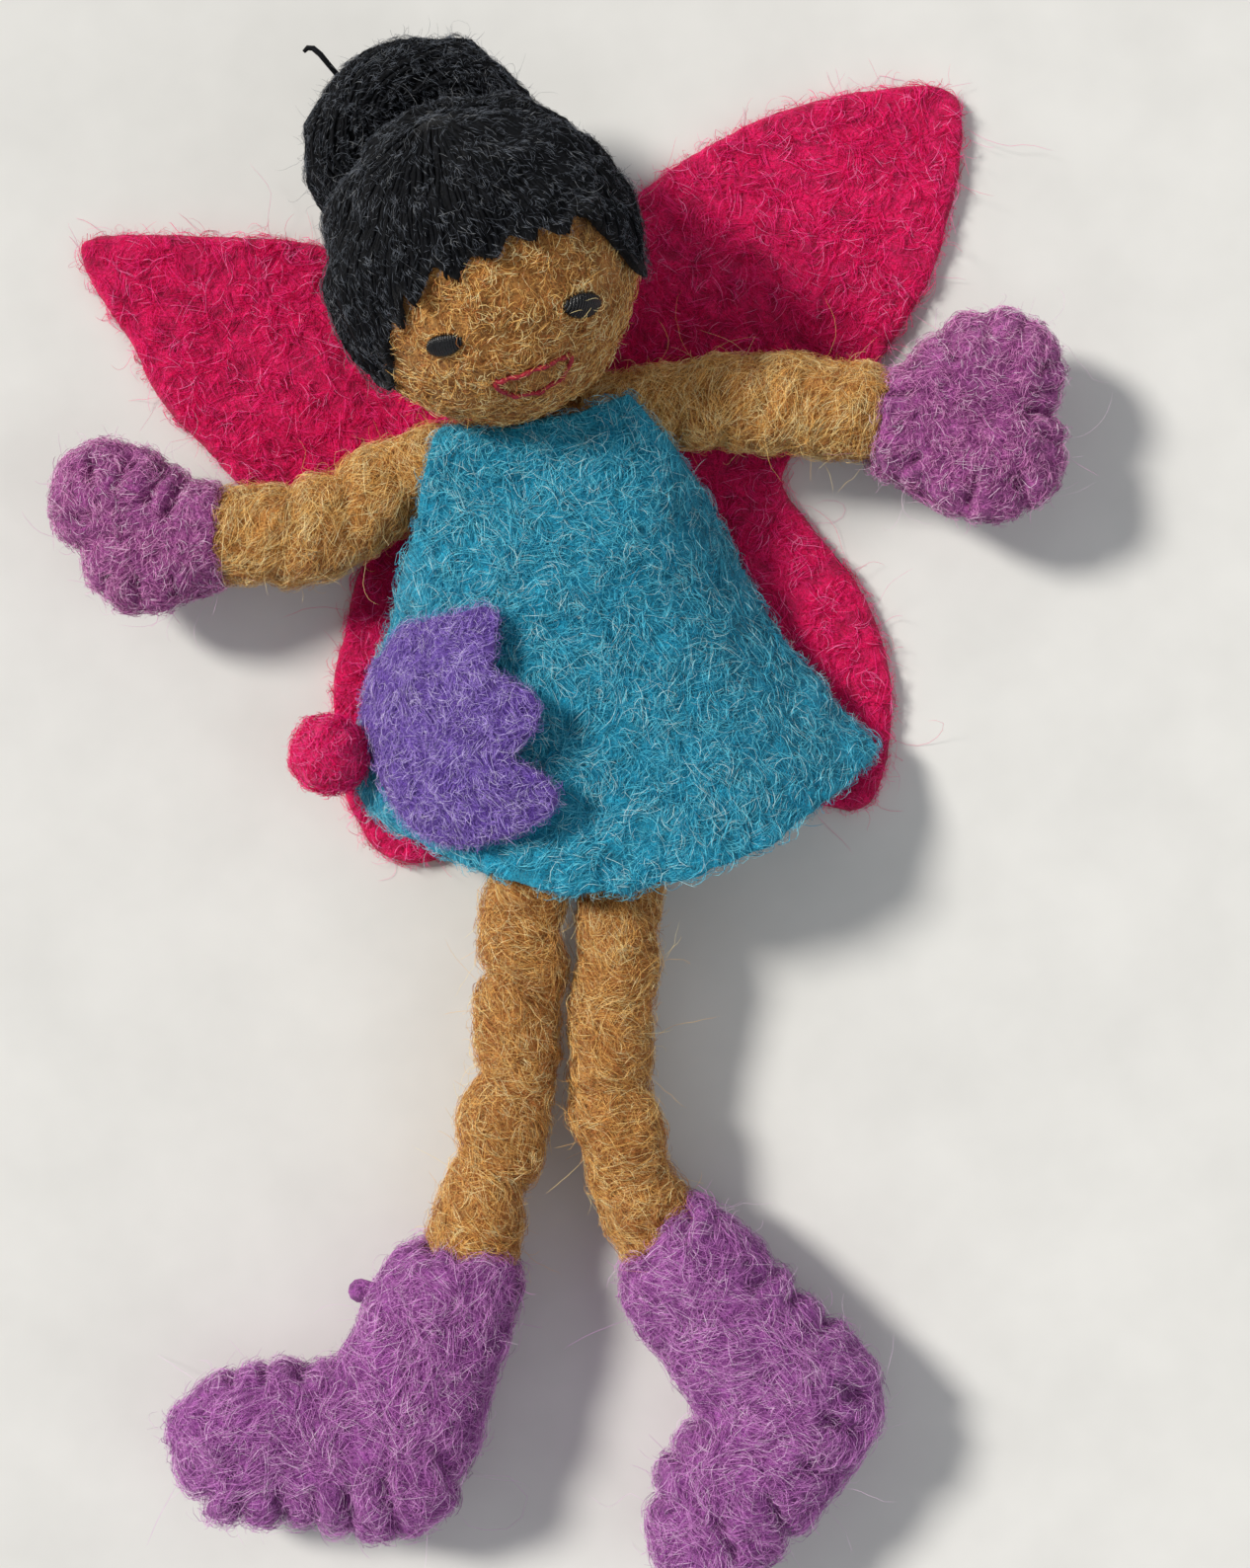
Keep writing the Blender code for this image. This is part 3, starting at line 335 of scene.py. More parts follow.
def tubes(paths, radii, sides, pointed=True):
    """Closed tubes along paths of shape (count, stations, 3). Pointed ends meet in one point."""
    count, stations, _ = paths.shape
    radii = np.broadcast_to(np.asarray(radii, float), (count, stations))
    way = unit(np.gradient(paths, axis=1))
    lean = unit(way.mean(1) + 1e-6)
    side = np.where(np.abs(lean[:, 2:]) < 0.8, UP, np.array((1.0, 0.0, 0.0)))
    across = unit(np.cross(way, side[:, None, :]))
    over = np.cross(way, across)
    spin = (np.arange(sides) * 2 * math.pi / sides)[:, None]
    ring = across[:, :, None, :] * np.cos(spin) + over[:, :, None, :] * np.sin(spin)
    rings = paths[:, :, None, :] + radii[:, :, None, None] * ring
    if pointed:
        rings = rings[:, 1:-1]
    rows = rings.shape[1]
    each = rows * sides + 2
    points = np.concatenate([rings.reshape(count, -1, 3), paths[:, :1], paths[:, -1:]], axis=1)
    base = (np.arange(count) * each)[:, None, None]
    k = np.arange(sides)
    n = (k + 1) % sides
    r = np.arange(rows - 1)[:, None] * sides
    quads = np.stack([r + k, r + sides + k, r + sides + n, r + n], -1).reshape(1, -1, 4) + base
    last = (rows - 1) * sides
    start = np.stack([np.full(sides, rows * sides), k, n], -1)[None] + base
    end = np.stack([np.full(sides, rows * sides + 1), last + n, last + k], -1)[None] + base
    owners = [np.repeat(np.arange(count), quads.shape[1]), np.repeat(np.arange(count), 2 * sides)]
    caps = np.concatenate([start, end], axis=1).reshape(-1, 3)
    return points.reshape(-1, 3), [quads.reshape(-1, 4), caps], owners


def creep(skin, rng, count, length, bend, height, stations=5, keep=None, along=None, stray=0.6):
    """Paths that creep over the skin, with its normals at their starts. along gives the combed way."""
    at, normal = skin.sample(count, rng, keep)
    first = normal
    way = unit(np.cross(normal, rng.normal(size=(count, 3))))
    if along is not None:
        grain = along(at)
        grain = grain * np.where(rng.random(count) < 0.5, -1, 1)[:, None]
        way = unit(way * stray + unit(grain - (grain * normal).sum(1, keepdims=True) * normal))
    steps = rng.uniform(*length, count)[:, None] / (stations - 1)
    turn = rng.normal(0, 1, count)[:, None] * bend / (stations - 1)
    low, high = height
    arch = np.sin(np.linspace(0.15, math.pi - 0.15, stations))[None] ** 0.7
    lift = rng.uniform(low, high, (count, 1)) * arch
    path = [at + normal * lift[:, :1]]
    for k in range(1, stations):
        at, normal = skin.nearest(at + way * steps)
        way = unit(way - (way * normal).sum(1, keepdims=True) * normal)
        way = unit(way * np.cos(turn) + np.cross(normal, way) * np.sin(turn))
        path.append(at + normal * lift[:, k : k + 1])
    return np.stack(path, 1), first


def tufted(guides, normals, rng, each, spread):
    """Several fibres beside each guide, shifted along it and fanned apart, above the skin."""
    count, stations, _ = guides.shape
    paths = np.repeat(guides, each, axis=0)
    normals = np.repeat(normals, each, axis=0)
    paths = paths + np.gradient(paths, axis=1) * rng.uniform(-1.2, 1.2, (count * each, 1, 1))
    apart = rng.normal(0, spread, (count * each, 3))
    over = (apart * normals).sum(1, keepdims=True)
    apart = apart + normals * (np.abs(over) * 0.6 - over)
    fan = 1 + rng.uniform(-0.7, 0.7, (count * each, 1, 1)) * np.linspace(-1, 1, stations)[None, :, None]
    paths = paths + apart[:, None] * fan
    paths[..., 2] = np.maximum(paths[..., 2], FIBRE_FLOOR)
    return paths


def wisps(skin, rng, count, length, rise, stations, keep=None, curl=2.2):
    """Paths of loose fibres that stand off the skin and curl, above the ground."""
    at, normal = skin.sample(count, rng, keep)
    side = unit(np.cross(normal, rng.normal(size=(count, 3))))
    lean = rng.uniform(0.15, 1.0, (count, 1))
    way = unit(side + normal * lean * rise)
    spin = unit(normal * 0.4 + rng.normal(size=(count, 3)) * 0.5 + np.cross(side, normal))
    steps = rng.uniform(*length, count)[:, None] / (stations - 1)
    turn = (rng.normal(0, curl, count) / (stations - 1))[:, None]
    waver = rng.normal(0, 0.5 * curl / (stations - 1), (count, stations))
    path = [at - normal * 0.15]
    for k in range(1, stations):
        path.append(path[-1] + way * steps)
        angle = turn + waver[:, k : k + 1]
        turned = way * np.cos(angle) + np.cross(spin, way) * np.sin(angle)
        way = unit(turned + spin * (spin * way).sum(1, keepdims=True) * (1 - np.cos(angle)))
    paths = np.stack(path, 1)
    paths[..., 2] = np.maximum(paths[..., 2], WISP_FLOOR)
    return paths


def joined(parts):
    """Meshes as (points, polygons, tints) made one."""
    points, blocks, tints, base = [], {3: [], 4: []}, {3: [], 4: []}, 0
    for own, polygons, shades in parts:
        points.append(own)
        for block, shade in zip(polygons, shades):
            blocks[block.shape[1]].append(block + base)
            tints[block.shape[1]].append(np.broadcast_to(shade, len(block)))
        base += len(own)
    sizes = [s for s in (4, 3) if blocks[s]]
    return (
        np.concatenate(points),
        [np.concatenate(blocks[s]) for s in sizes],
        np.concatenate([np.concatenate(tints[s]) for s in sizes]),
    )


def body_part(skin):
    """A skin as a part for joined, of the ground material."""
    return skin.points, skin.polygons, [0] * len(skin.polygons)


def cords(paths, radii, sides, shade=0, pointed=True, shift=None):
    """Closed tubes of one material as a part for joined, with their points moved by shift."""
    points, blocks, _ = tubes(paths, radii, sides, pointed)
    return shift(points) if shift else points, blocks, [shade, shade]


def hairs(paths, radius, rng, shades, weights):
    """Three-sided fibres as a part for joined, each with one of the shades."""
    count, stations, _ = paths.shape
    shape = np.sin(np.linspace(0.0, math.pi, stations)) ** 0.35
    radii = rng.uniform(*radius, (count, 1)) * shape[None]
    points, polygons, owners = tubes(paths, radii, 3)
    shade = rng.choice(shades, count, p=np.array(weights) / sum(weights))
    return points, polygons, [shade[owner] for owner in owners]


def wool(
    skin, rng, count, length=(1.8, 4.6), radius=(0.022, 0.045), bend=1.8, height=(0.04, 0.3),
    weights=(3, 4, 1), spread=0.42, **more,
):
    """Tufts of fibres lying on the skin."""
    guides, normals = creep(skin, rng, int(count * DENSITY / TUFT), length, bend, height, **more)
    return hairs(tufted(guides, normals, rng, TUFT, spread), radius, rng, FIBRES, weights)


def halo(skin, rng, count, keep=None):
    """Short fluff that blurs the edge of the felt."""
    paths = wisps(skin, rng, int(count * DENSITY), HALO_LENGTH, 1.6, 5, keep, 1.6)
    return hairs(paths, HALO_RADIUS, rng, FIBRES, (1, 3, 2))


def curls(skin, rng, count, length=(2.0, 5.5), rise=0.8, keep=None, weights=(0, 3, 2), curl=3.4):
    """Long loose fibres that curl away from the felt and back."""
    paths = wisps(skin, rng, int(count * DENSITY**0.5), length, rise, 10, keep, curl)
    return hairs(paths, CURL_RADIUS, rng, FIBRES, weights)


def place(name, parts, materials, body=None, slot=None, replaces=()):
    """An object of these parts, riding on its body and standing for the CAD nodes named."""
    points, polygons, tints = joined(parts)
    item = add(name, mesh_of(name, points, polygons, tints))
    for material in materials:
        item.data.materials.append(material)
    if body:
        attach(item, body)
    if replaces:
        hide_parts(*replaces)
    return item


def nearness(places, line, width):
    """1 on a short line seen from above, falling to 0 over this width beside it."""
    a, b = np.array(line[:2]), np.array(line[2:])
    flat = places[:, :2]
    t = np.clip((flat - a) @ (b - a) / ((b - a) @ (b - a)), 0, 1)
    gap = np.linalg.norm(flat - a - t[:, None] * (b - a), axis=1)
    return np.exp(-((gap / width) ** 2))


def dents(skin, lines, width, depth, at_side=1.0):
    """Presses a groove into the skin along each short line, less deep where it faces sideways."""
    sunk = np.zeros(len(skin.points))
    for line in lines:
        sunk += depth * nearness(skin.points, line, width)
    return skin.move(-sunk * np.clip(np.abs(skin.normals[:, 2]), at_side, 1))


def pad_out(skin, centre, reach, push):
    """Pads one corner out, from its centre seen from above, by the push in x and y."""
    gap = np.linalg.norm(skin.points[:, :2] - np.array(centre), axis=1)
    skin.points = skin.points + np.array((*push, 0.0)) * np.exp(-((gap / reach) ** 2))[:, None]
    skin.refresh()


def beside(lines, width, top_only=False):
    """Leaves the grooves along these lines nearly bare, so that the darker ground shows there as painted
    shade in the grooves.
    """

    def keep(centre, normal):
        covered = np.zeros(len(centre))
        for line in lines:
            covered = np.maximum(covered, nearness(centre, line, width))
        weight = 1.02 - 0.85 * covered
        return weight * facing_up(centre, normal) if top_only else weight

    return keep


def flare(skin, start, way, amount, reach):
    """Opens a cuff by pushing its points away from the limb's line."""
    offset = skin.points - np.array(start)
    along = offset @ way
    away = offset - along[:, None] * way
    far = np.linalg.norm(away, axis=1, keepdims=True)
    push = amount * np.exp(-((np.maximum(along, 0) / reach) ** 2))[:, None] * np.clip(far / 4, 0, 1)
    skin.points = skin.points + away / np.maximum(far, 0.1) * push
    return skin.settle()


def facing_up(centre, normal):
    return 0.12 + np.clip(normal[:, 2], 0, 1)


def facing_down(centre, normal):
    return 0.12 + np.clip(-normal[:, 2], 0, 1)


def at_edges(centre, normal):
    return 0.04 + (np.abs(normal[:, 2]) < 0.55)


def settings(node, **values):
    """Sets a node's inputs, named with _ for each space."""
    for name, value in values.items():
        node.inputs[name.replace("_", " ")].default_value = value


def node_tree(name):
    material = bpy.data.materials.new(name)
    material.use_nodes = True
    return material, material.node_tree, material.node_tree.nodes["Principled BSDF"]


def noise(tree, scale, detail=4.0, distortion=0.0, stretch=None):
    """A noise node in object space, drawn out where stretch says so."""
    source = tree.nodes.new("ShaderNodeTexCoord").outputs["Object"]
    if stretch:
        mapping = tree.nodes.new("ShaderNodeMapping")
        settings(mapping, Scale=stretch)
        tree.links.new(source, mapping.inputs["Vector"])
        source = mapping.outputs["Vector"]
    node = tree.nodes.new("ShaderNodeTexNoise")
    settings(node, Scale=scale, Detail=detail, Roughness=0.6, Distortion=distortion)
    tree.links.new(source, node.inputs["Vector"])
    return node.outputs["Fac"]


def maths(tree, operation, first, second=0.0):
    """One sum on a value, with a number or a second value."""
    node = tree.nodes.new("ShaderNodeMath")
    node.operation = operation
    tree.links.new(first, node.inputs[0])
    if isinstance(second, float):
        node.inputs[1].default_value = second
    else:
        tree.links.new(second, node.inputs[1])
    return node.outputs["Value"]


def winding(tree, scale, width):
    """Thin winding lines through the felt, 1 on a line and 0 off it."""
    away = maths(tree, "ABSOLUTE", maths(tree, "SUBTRACT", noise(tree, scale, 2.0, 1.3), 0.5))
    line = tree.nodes.new("ShaderNodeMapRange")
    settings(line, From_Max=width, To_Min=1.0, To_Max=0.0)
    tree.links.new(away, line.inputs["Value"])
    return line.outputs["Result"]


def ramp(tree, source, stops):
    """Colours by a value, each stop a position and an sRGB colour."""
    node = tree.nodes.new("ShaderNodeValToRGB")
    elements = node.color_ramp.elements
    while len(elements) < len(stops):
        elements.new(0.5)
    for element, (position, colour) in zip(elements, stops):
        element.position, element.color = position, linear(colour)
    tree.links.new(source, node.inputs["Fac"])
    return node.outputs["Color"]


def mixed(tree, first, second, factor, blend="MIX"):
    """Two colours mixed, each of the three a constant or a value."""
    mix = tree.nodes.new("ShaderNodeMix")
    mix.data_type, mix.blend_type = "RGBA", blend
    for source, name in ((factor, "Factor"), (first, "A"), (second, "B")):
        if isinstance(source, (float, tuple)):
            mix.inputs[name].default_value = source
        else:
            tree.links.new(source, mix.inputs[name])
    return mix.outputs["Result"]


def raised(tree, shader, height, strength, distance):
    """Raises the surface by a value, to this distance in millimetres."""
    bump = tree.nodes.new("ShaderNodeBump")
    settings(bump, Strength=strength, Distance=distance * MM)
    tree.links.new(height, bump.inputs["Height"])
    tree.links.new(bump.outputs["Normal"], shader.inputs["Normal"])


def felt(name, dark, mid, light, sheen=0.12):
    """Felted wool: mottled tufts, pale fibres winding through a darker tangle, and a soft sheen."""
    material, tree, shader = node_tree(name)
    tangle = noise(tree, TANGLE_SCALE, 4.0, 1.6)
    colour = ramp(tree, tangle, ((0.36, dark), (0.52, mid), (0.7, light)))
    near, far = (winding(tree, scale, width) for scale, width in WINDING_FIBRES)
    lines = maths(tree, "MAXIMUM", near, far)
    colour = mixed(tree, colour, linear(light), maths(tree, "MULTIPLY", lines, 0.55))
    patches = ramp(tree, noise(tree, PATCH_SCALE, 3.0, 0.6), ((0.34, PATCH_SHADE), (0.6, (255, 255, 255))))
    tree.links.new(mixed(tree, colour, patches, 1.0, "MULTIPLY"), shader.inputs["Base Color"])
    raised(tree, shader, maths(tree, "ADD", tangle, lines), 0.6, 0.3)
    settings(shader, Roughness=0.95, Specular_IOR_Level=0.15, Sheen_Weight=sheen, Sheen_Roughness=0.55)
    return material


def fibre(name, dark, light, roughness=0.6, specular=0.3):
    """One tint of loose wool, a little uneven along its length."""
    material, tree, shader = node_tree(name)
    colour = ramp(tree, noise(tree, UNEVEN_SCALE, 2.0), ((0.35, dark), (0.65, light)))
    tree.links.new(colour, shader.inputs["Base Color"])
    settings(shader, Roughness=roughness, Specular_IOR_Level=specular)
    return material


def thread(name, dark, light, roughness=0.45, scale=3000, specular=0.4):
    """Twisted thread or yarn."""
    material, tree, shader = node_tree(name)
    strands = noise(tree, scale, 3.0, 0.8)
    tree.links.new(ramp(tree, strands, ((0.4, dark), (0.66, light))), shader.inputs["Base Color"])
    raised(tree, shader, strands, 0.5, 0.12)
    settings(shader, Roughness=roughness, Specular_IOR_Level=specular)
    return material


# Camera, at the photograph's place over the doll, in millimetres of lens, metres and degrees
CAMERA_LENS, CAMERA_AT, CAMERA_TURN = 68.0, (0.003, -0.0314, 0.4), -10
camera_data = bpy.data.cameras.new("camera")
camera_data.lens = CAMERA_LENS
camera = add("camera", camera_data)
camera.location = CAMERA_AT
camera.rotation_euler = (0, 0, math.radians(CAMERA_TURN))
bpy.context.scene.camera = camera
bpy.context.scene.view_settings.view_transform = "Standard"

# Floor and light
FLOOR_HALF, FLOOR_DROP = 900, 0.05
FLOOR_TONES = ((0.3, (212, 211, 207)), (0.7, (219, 218, 214)))
SKY_COLOUR, SKY_STRENGTH = (0.92, 0.95, 1.0, 1), 0.39
KEY_FROM, KEY_ENERGY, KEY_SPREAD, KEY_COLOUR = (-0.78, 0.51, 0.85), 3.4, 12, (1.0, 0.97, 0.92)
FILL_AT, FILL_POWER, FILL_SIZE, FILL_COLOUR = (0.55, -0.35, 0.6), 1.0, 0.6, (0.95, 0.97, 1.0)
LAMPS_FACE = Vector((0, -0.02, 0))
sides = ((-1, -1), (1, -1), (1, 1), (-1, 1))
floor_corners = np.array([(x * FLOOR_HALF, y * FLOOR_HALF, -FLOOR_DROP) for x, y in sides])
floor = add("floor", mesh_of("floor", floor_corners, [np.array([[0, 1, 2, 3]])]))
floor_material, floor_tree, floor_shader = node_tree("pale_floor")
floor_tone = ramp(floor_tree, noise(floor_tree, 60, 3.0), FLOOR_TONES)
floor_tree.links.new(floor_tone, floor_shader.inputs["Base Color"])
settings(floor_shader, Roughness=0.9)
floor.data.materials.append(floor_material)

world = bpy.data.worlds.new("studio")
bpy.context.scene.world = world
world.use_nodes = True
settings(world.node_tree.nodes["Background"], Color=SKY_COLOUR, Strength=SKY_STRENGTH)


def lamp(name, at, power, colour, size=None, spread=None):
    """A soft panel of this size or, with a spread in degrees, a far soft light."""
    data = bpy.data.lights.new(name, "AREA" if size else "SUN")
    data.energy, data.color = power, colour
    if size:
        data.size = size
    else:
        data.angle = math.radians(spread)
    item = add(name, data)
    item.location = Vector(at)
    item.rotation_euler = (LAMPS_FACE - item.location).to_track_quat("-Z", "Y").to_euler()


lamp("key", KEY_FROM, KEY_ENERGY, KEY_COLOUR, spread=KEY_SPREAD)
lamp("fill", FILL_AT, FILL_POWER, FILL_COLOUR, size=FILL_SIZE)


def tints(colour, ground, *fibres):
    """The materials of one wool: its ground, then its deep, middle and pale fibres."""
    ends = ("_deep", "", "_pale")
    return [ground] + [fibre(f"{colour}_fibre{end}", *shades) for end, shades in zip(ends, fibres)]


# Wool and thread, each with its tints
PINK = tints(
    "pink",
    felt("pink_felt", (150, 0, 46), (226, 6, 86), (252, 40, 122)),
    ((204, 2, 70), (236, 10, 98), 0.7, 0.12),
    ((250, 22, 114), (255, 66, 148), 0.7, 0.12),
    ((255, 98, 168), (255, 150, 200)),
)
ROSE = [felt("rose_wool", (176, 10, 66), (244, 40, 116), (255, 92, 156)), *PINK[1:]]
TEAL = tints(
    "turquoise",
    felt("turquoise_felt", (4, 88, 118), (22, 152, 188), (72, 196, 224)),
    ((12, 122, 160), (30, 162, 198)),
    ((70, 190, 220), (120, 220, 238)),
    ((164, 226, 236), (210, 242, 244)),
)
VIOLET = tints(
    "violet",
    felt("violet_felt", (62, 38, 118), (108, 74, 172), (146, 112, 206)),
    ((84, 54, 144), (118, 84, 182)),
    ((150, 118, 212), (182, 154, 232)),
    ((200, 182, 240), (224, 212, 248)),
)
LILAC = tints(
    "lilac",
    felt("lilac_felt", (84, 28, 92), (164, 78, 166), (208, 128, 204)),
    ((128, 54, 134), (176, 94, 176)),
    ((206, 124, 204), (228, 162, 224)),
    ((236, 194, 234), (250, 222, 246)),
)
ORCHID = tints(
    "orchid",
    felt("orchid_felt", (86, 28, 84), (170, 78, 154), (214, 128, 192)),
    ((134, 54, 122), (184, 94, 162)),
    ((214, 128, 194), (236, 168, 214)),
    ((240, 198, 230), (252, 226, 244)),
)
TAN = tints(
    "tan",
    felt("tan_wool", (112, 62, 24), (196, 130, 62), (240, 184, 106)),
    ((154, 90, 44), (206, 134, 72), 0.5),
    ((238, 176, 92), (254, 210, 128), 0.42),
    ((254, 220, 142), (255, 240, 186), 0.36),
)
BLACK = [
    felt("black_wool", (4, 5, 7), (10, 11, 14), (22, 24, 28), sheen=0.05),
    thread("black_yarn", (3, 4, 6), (18, 20, 25), 0.8, 2400, 0.15),
    # Grey fibres for the hair's flecks and wisps; on the flecks this grey is partly painted highlight.
    fibre("black_fibre", (54, 58, 66), (122, 128, 138), 0.6, 0.2),
    fibre("black_fibre_pale", (104, 108, 114), (156, 158, 160), 0.5),
]
THREAD_RED = thread("red_thread", (136, 14, 32), (192, 42, 60))
SATIN = thread("satin_black", (5, 5, 7), (16, 17, 21), 0.26, 5000, 0.5)

steel, steel_tree, steel_shader = node_tree("steel_wire")
drawn = noise(steel_tree, 900, 3.0, 0.0, (1, 8, 8))
steel_tone = ramp(steel_tree, drawn, ((0.3, (150, 152, 156)), (0.7, (196, 198, 202))))
steel_tree.links.new(steel_tone, steel_shader.inputs["Base Color"])
settings(steel_shader, Metallic=1.0, Roughness=0.35)
for node_name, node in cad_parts.items():
    if "wire" in node_name:
        node.data.materials.clear()
        node.data.materials.append(steel)

# Wings, one piece of thick felt under the doll
wing_rng = np.random.default_rng(101)
wings = from_nodes(["wings"], 0.6, 8)
wings.move(lumps(wings.points, 16, 11) * 0.16 + lumps(wings.points, 3.4, 12) * 0.05).settle()
wing_felt = place("wings_felt", [body_part(wings)], PINK, "body", "pink_felt", ["wings"])
for number, count, keep in ((1, 10000, facing_up), (2, 10000, facing_up), (3, 5000, facing_down)):
    lying = wool(wings, wing_rng, count, keep=keep, along=swirl(14, 110), stray=0.9, height=(0.04, 0.36))
    place(f"wings_fuzz_{number}", [lying], PINK, "body", "pink_felt")
loose = [
    halo(wings, wing_rng, 4200, at_edges),
    curls(wings, wing_rng, 560, (2, 6.5), 1.0, at_edges),
    curls(wings, wing_rng, 420, (1.5, 4), 0.6, facing_up),
    curls(wings, wing_rng, 44, (8, 15), 1.0, at_edges, (0, 1, 3)),
]
place("wings_strays", loose, PINK, "body", "pink_felt")
wings.area() / 2 * MM**2

# Dress, two panels sewn at the sides, with a puckered hem
dress_rng = np.random.default_rng(202)
for half, voxel, seed in (("front", 0.5, 21), ("back", 0.6, 24)):
    panel = from_nodes([f"dress_{half}"], voxel, 8)
    hem = np.clip((-24 - panel.points[:, 1]) / 20, 0, 1)
    panel.move(lumps(panel.points, 24, seed + 5) * 0.3 + lumps(panel.points, 9, seed) * 0.14)
    panel.move(hem * lumps(panel.points, 5, seed + 2) * 0.11)
    if half == "front":
        dents(panel, HEM_PUCKERS, *HEM_GROOVES)
    names = [f"dress_{half}"]
    cloth = place(f"dress_{half}_felt", [body_part(panel)], TEAL, "body", "turquoise_felt", names)
    side, layers, count, edge_count = (
        (facing_up, 2, 10000, 2600) if half == "front" else (facing_down, 1, 4500, 1500)
    )
    loose = []
    for layer in range(layers):
        lying = wool(
            panel, dress_rng, count, keep=side, along=swirl(17, 120), stray=0.7, height=(0.04, 0.4),
        )
        loose.append(place(f"dress_{half}_fuzz_{layer + 1}", [lying], TEAL, "body", "turquoise_felt"))
    fluff = [halo(panel, dress_rng, edge_count, at_edges)]
    fluff.append(curls(panel, dress_rng, 420, (1.8, 5), 0.7, side))
    loose.append(place(f"dress_{half}_strays", fluff, TEAL, "body", "turquoise_felt"))
    panel.area() / 2 * MM**2

# Torso and neck, felted wool over the core
torso_rng = np.random.default_rng(303)
torso = from_nodes(["torso"], 0.7, 6)
torso.move(lumps(torso.points, 6, 31) * 0.15)
torso_parts = [body_part(torso), wool(torso, torso_rng, 900)]
torso_item = place("torso_wool", torso_parts, TAN, "body", "tan_wool", ["torso"])
neck = from_nodes(["neck"], 0.35, 3)
neck_parts = [body_part(neck), wool(neck, torso_rng, 400, (1, 2), height=(0.02, 0.1), spread=0.1)]
place("neck_wool", neck_parts, TAN, "neck", "tan_wool", ["neck"])

# Head
side_axis = np.cross(np.cross((1, 0, 0), HEAD_UP), HEAD_UP)
HEAD_SIDE = -side_axis / np.linalg.norm(side_axis)
HEAD_FRONT = np.cross(HEAD_SIDE, HEAD_UP)


def head_way(turn, down):
    """Directions from the head's centre, in degrees round from the front and down from the crown."""
    turn, down = np.radians(turn)[..., None], np.radians(down)[..., None]
    return HEAD_UP * np.cos(down) + (HEAD_FRONT * np.cos(turn) + HEAD_SIDE * np.sin(turn)) * np.sin(down)


def head_place(turn, down, lift):
    """Points over the head's surface."""
    way = head_way(np.asarray(turn, float), np.asarray(down, float))
    rise = way @ HEAD_UP
    lift = np.asarray(lift, float)
    out = np.sqrt((1 - rise**2) / (HEAD_RADIUS + lift) ** 2 + rise**2 / (HEAD_HALF_HEIGHT + lift) ** 2)
    return HEAD_CENTRE + way / out[..., None]


def hair_edge(turn):
    """How far down the hair goes at each angle round the crown."""
    table = np.array(HAIRLINE, float)
    return np.interp(np.mod(turn, 360), table[:, 0], table[:, 1])


def on_face(centre, normal):
    """Leaves the hair's own ground without skin fibres."""
    way = unit(centre - HEAD_CENTRE)
    turn = np.degrees(np.arctan2(way @ HEAD_SIDE, way @ HEAD_FRONT))
    down = np.degrees(np.arccos(np.clip(way @ HEAD_UP, -1, 1)))
    outside = np.linalg.norm(centre - HEAD_CENTRE, axis=1) > HEAD_RADIUS - 1.5
    return outside * (down > hair_edge(turn) + 1) + 1e-9


head_rng = np.random.default_rng(404)
head = from_nodes(["head"], 0.6, 4)
head.move(lumps(head.points, 9, 41) * 0.12 + lumps(head.points, 3, 42) * 0.03)
head_item = place("head_wool", [body_part(head)], TAN, "head", "tan_wool", ["head"])
face_parts = [
    wool(
        head, head_rng, 9000, (1.2, 3.2), (0.026, 0.054), 2.4, keep=on_face, along=swirl(9, 140), stray=0.8,
        weights=(4, 4, 3), height=(0.04, 0.42),
    ),
    halo(head, head_rng, 1200, on_face),
    curls(head, head_rng, 320, (1.4, 4), 0.5, on_face),
]
place("face_fuzz", face_parts, TAN, "head", "tan_wool")

# Hair: a dark ground, then fine yarn stitches laid from the crown down to the fringe
hair_rng = np.random.default_rng(505)
cap = from_nodes(["hair_cap"], 0.45, 3)


def clumped(points, amount=0.4):
    """Lifts and sinks the hair in soft clumps."""
    return points + unit(points - HEAD_CENTRE) * (lumps(points, 7, 51) * amount)[:, None]


cap = Skin(clumped(cap.points), cap.polygons)


def stitches(turns, tops, ends, lifts, stations=14, waver=1.0):
    """Yarn laid over the head along the meridians, with a slight waver."""
    share = np.linspace(0, 1, stations)[None]
    down = tops[:, None] + (ends - tops)[:, None] * share
    phase = hair_rng.uniform(0, 6, (len(turns), 1))
    swing = np.sin(share * math.pi * hair_rng.uniform(1, 2.2, (len(turns), 1)) + phase)
    turn = turns[:, None] + swing * waver / np.maximum(np.sin(np.radians(down)), 0.2)
    return head_place(turn, down, lifts[:, None] * (1 - 0.55 * share**8))


# Bands of yarn starts, in degrees below the crown, each with its count
YARN_BANDS = ((3, 12, 90), (12, 24, 110), (24, 42, 160), (42, 60, 190))
turns, tops = [], []
for low, high, count in YARN_BANDS:
    turns.append(np.linspace(0, 360, count, endpoint=False) + hair_rng.uniform(0, 3, count))
    tops.append(hair_rng.uniform(low, high, count))
turns, tops = np.concatenate(turns), np.concatenate(tops)
ends = hair_edge(turns) + hair_rng.normal(0, 0.8, len(turns))
long_enough = ends - tops > 8
turns, tops, ends = turns[long_enough], tops[long_enough], ends[long_enough]
yarn_lift = hair_rng.uniform(HAIR_LIFT - 0.2, HAIR_LIFT + 0.15, len(turns))
taper = np.interp(np.linspace(0, 1, 14), (0, 0.06, 0.85, 1), (0.5, 1, 0.9, 0.3))
yarn_radii = hair_rng.uniform(0.22, 0.33, (len(turns), 1)) * taper[None]
yarn = cords(stitches(turns, tops, ends, yarn_lift), yarn_radii, 5, 1, shift=clumped)


def twist_down(places):
    """The way of the fibres in a yarn that runs down the head with a twist."""
    way = unit(places - HEAD_CENTRE)
    down = unit((way @ HEAD_UP)[:, None] * way - HEAD_UP)
    return down + np.cross(way, down) * 0.5


def outer_cap(centre, normal):
    return (np.einsum("ij,ij->i", normal, unit(centre - HEAD_CENTRE)) > 0.3) + 1e-9


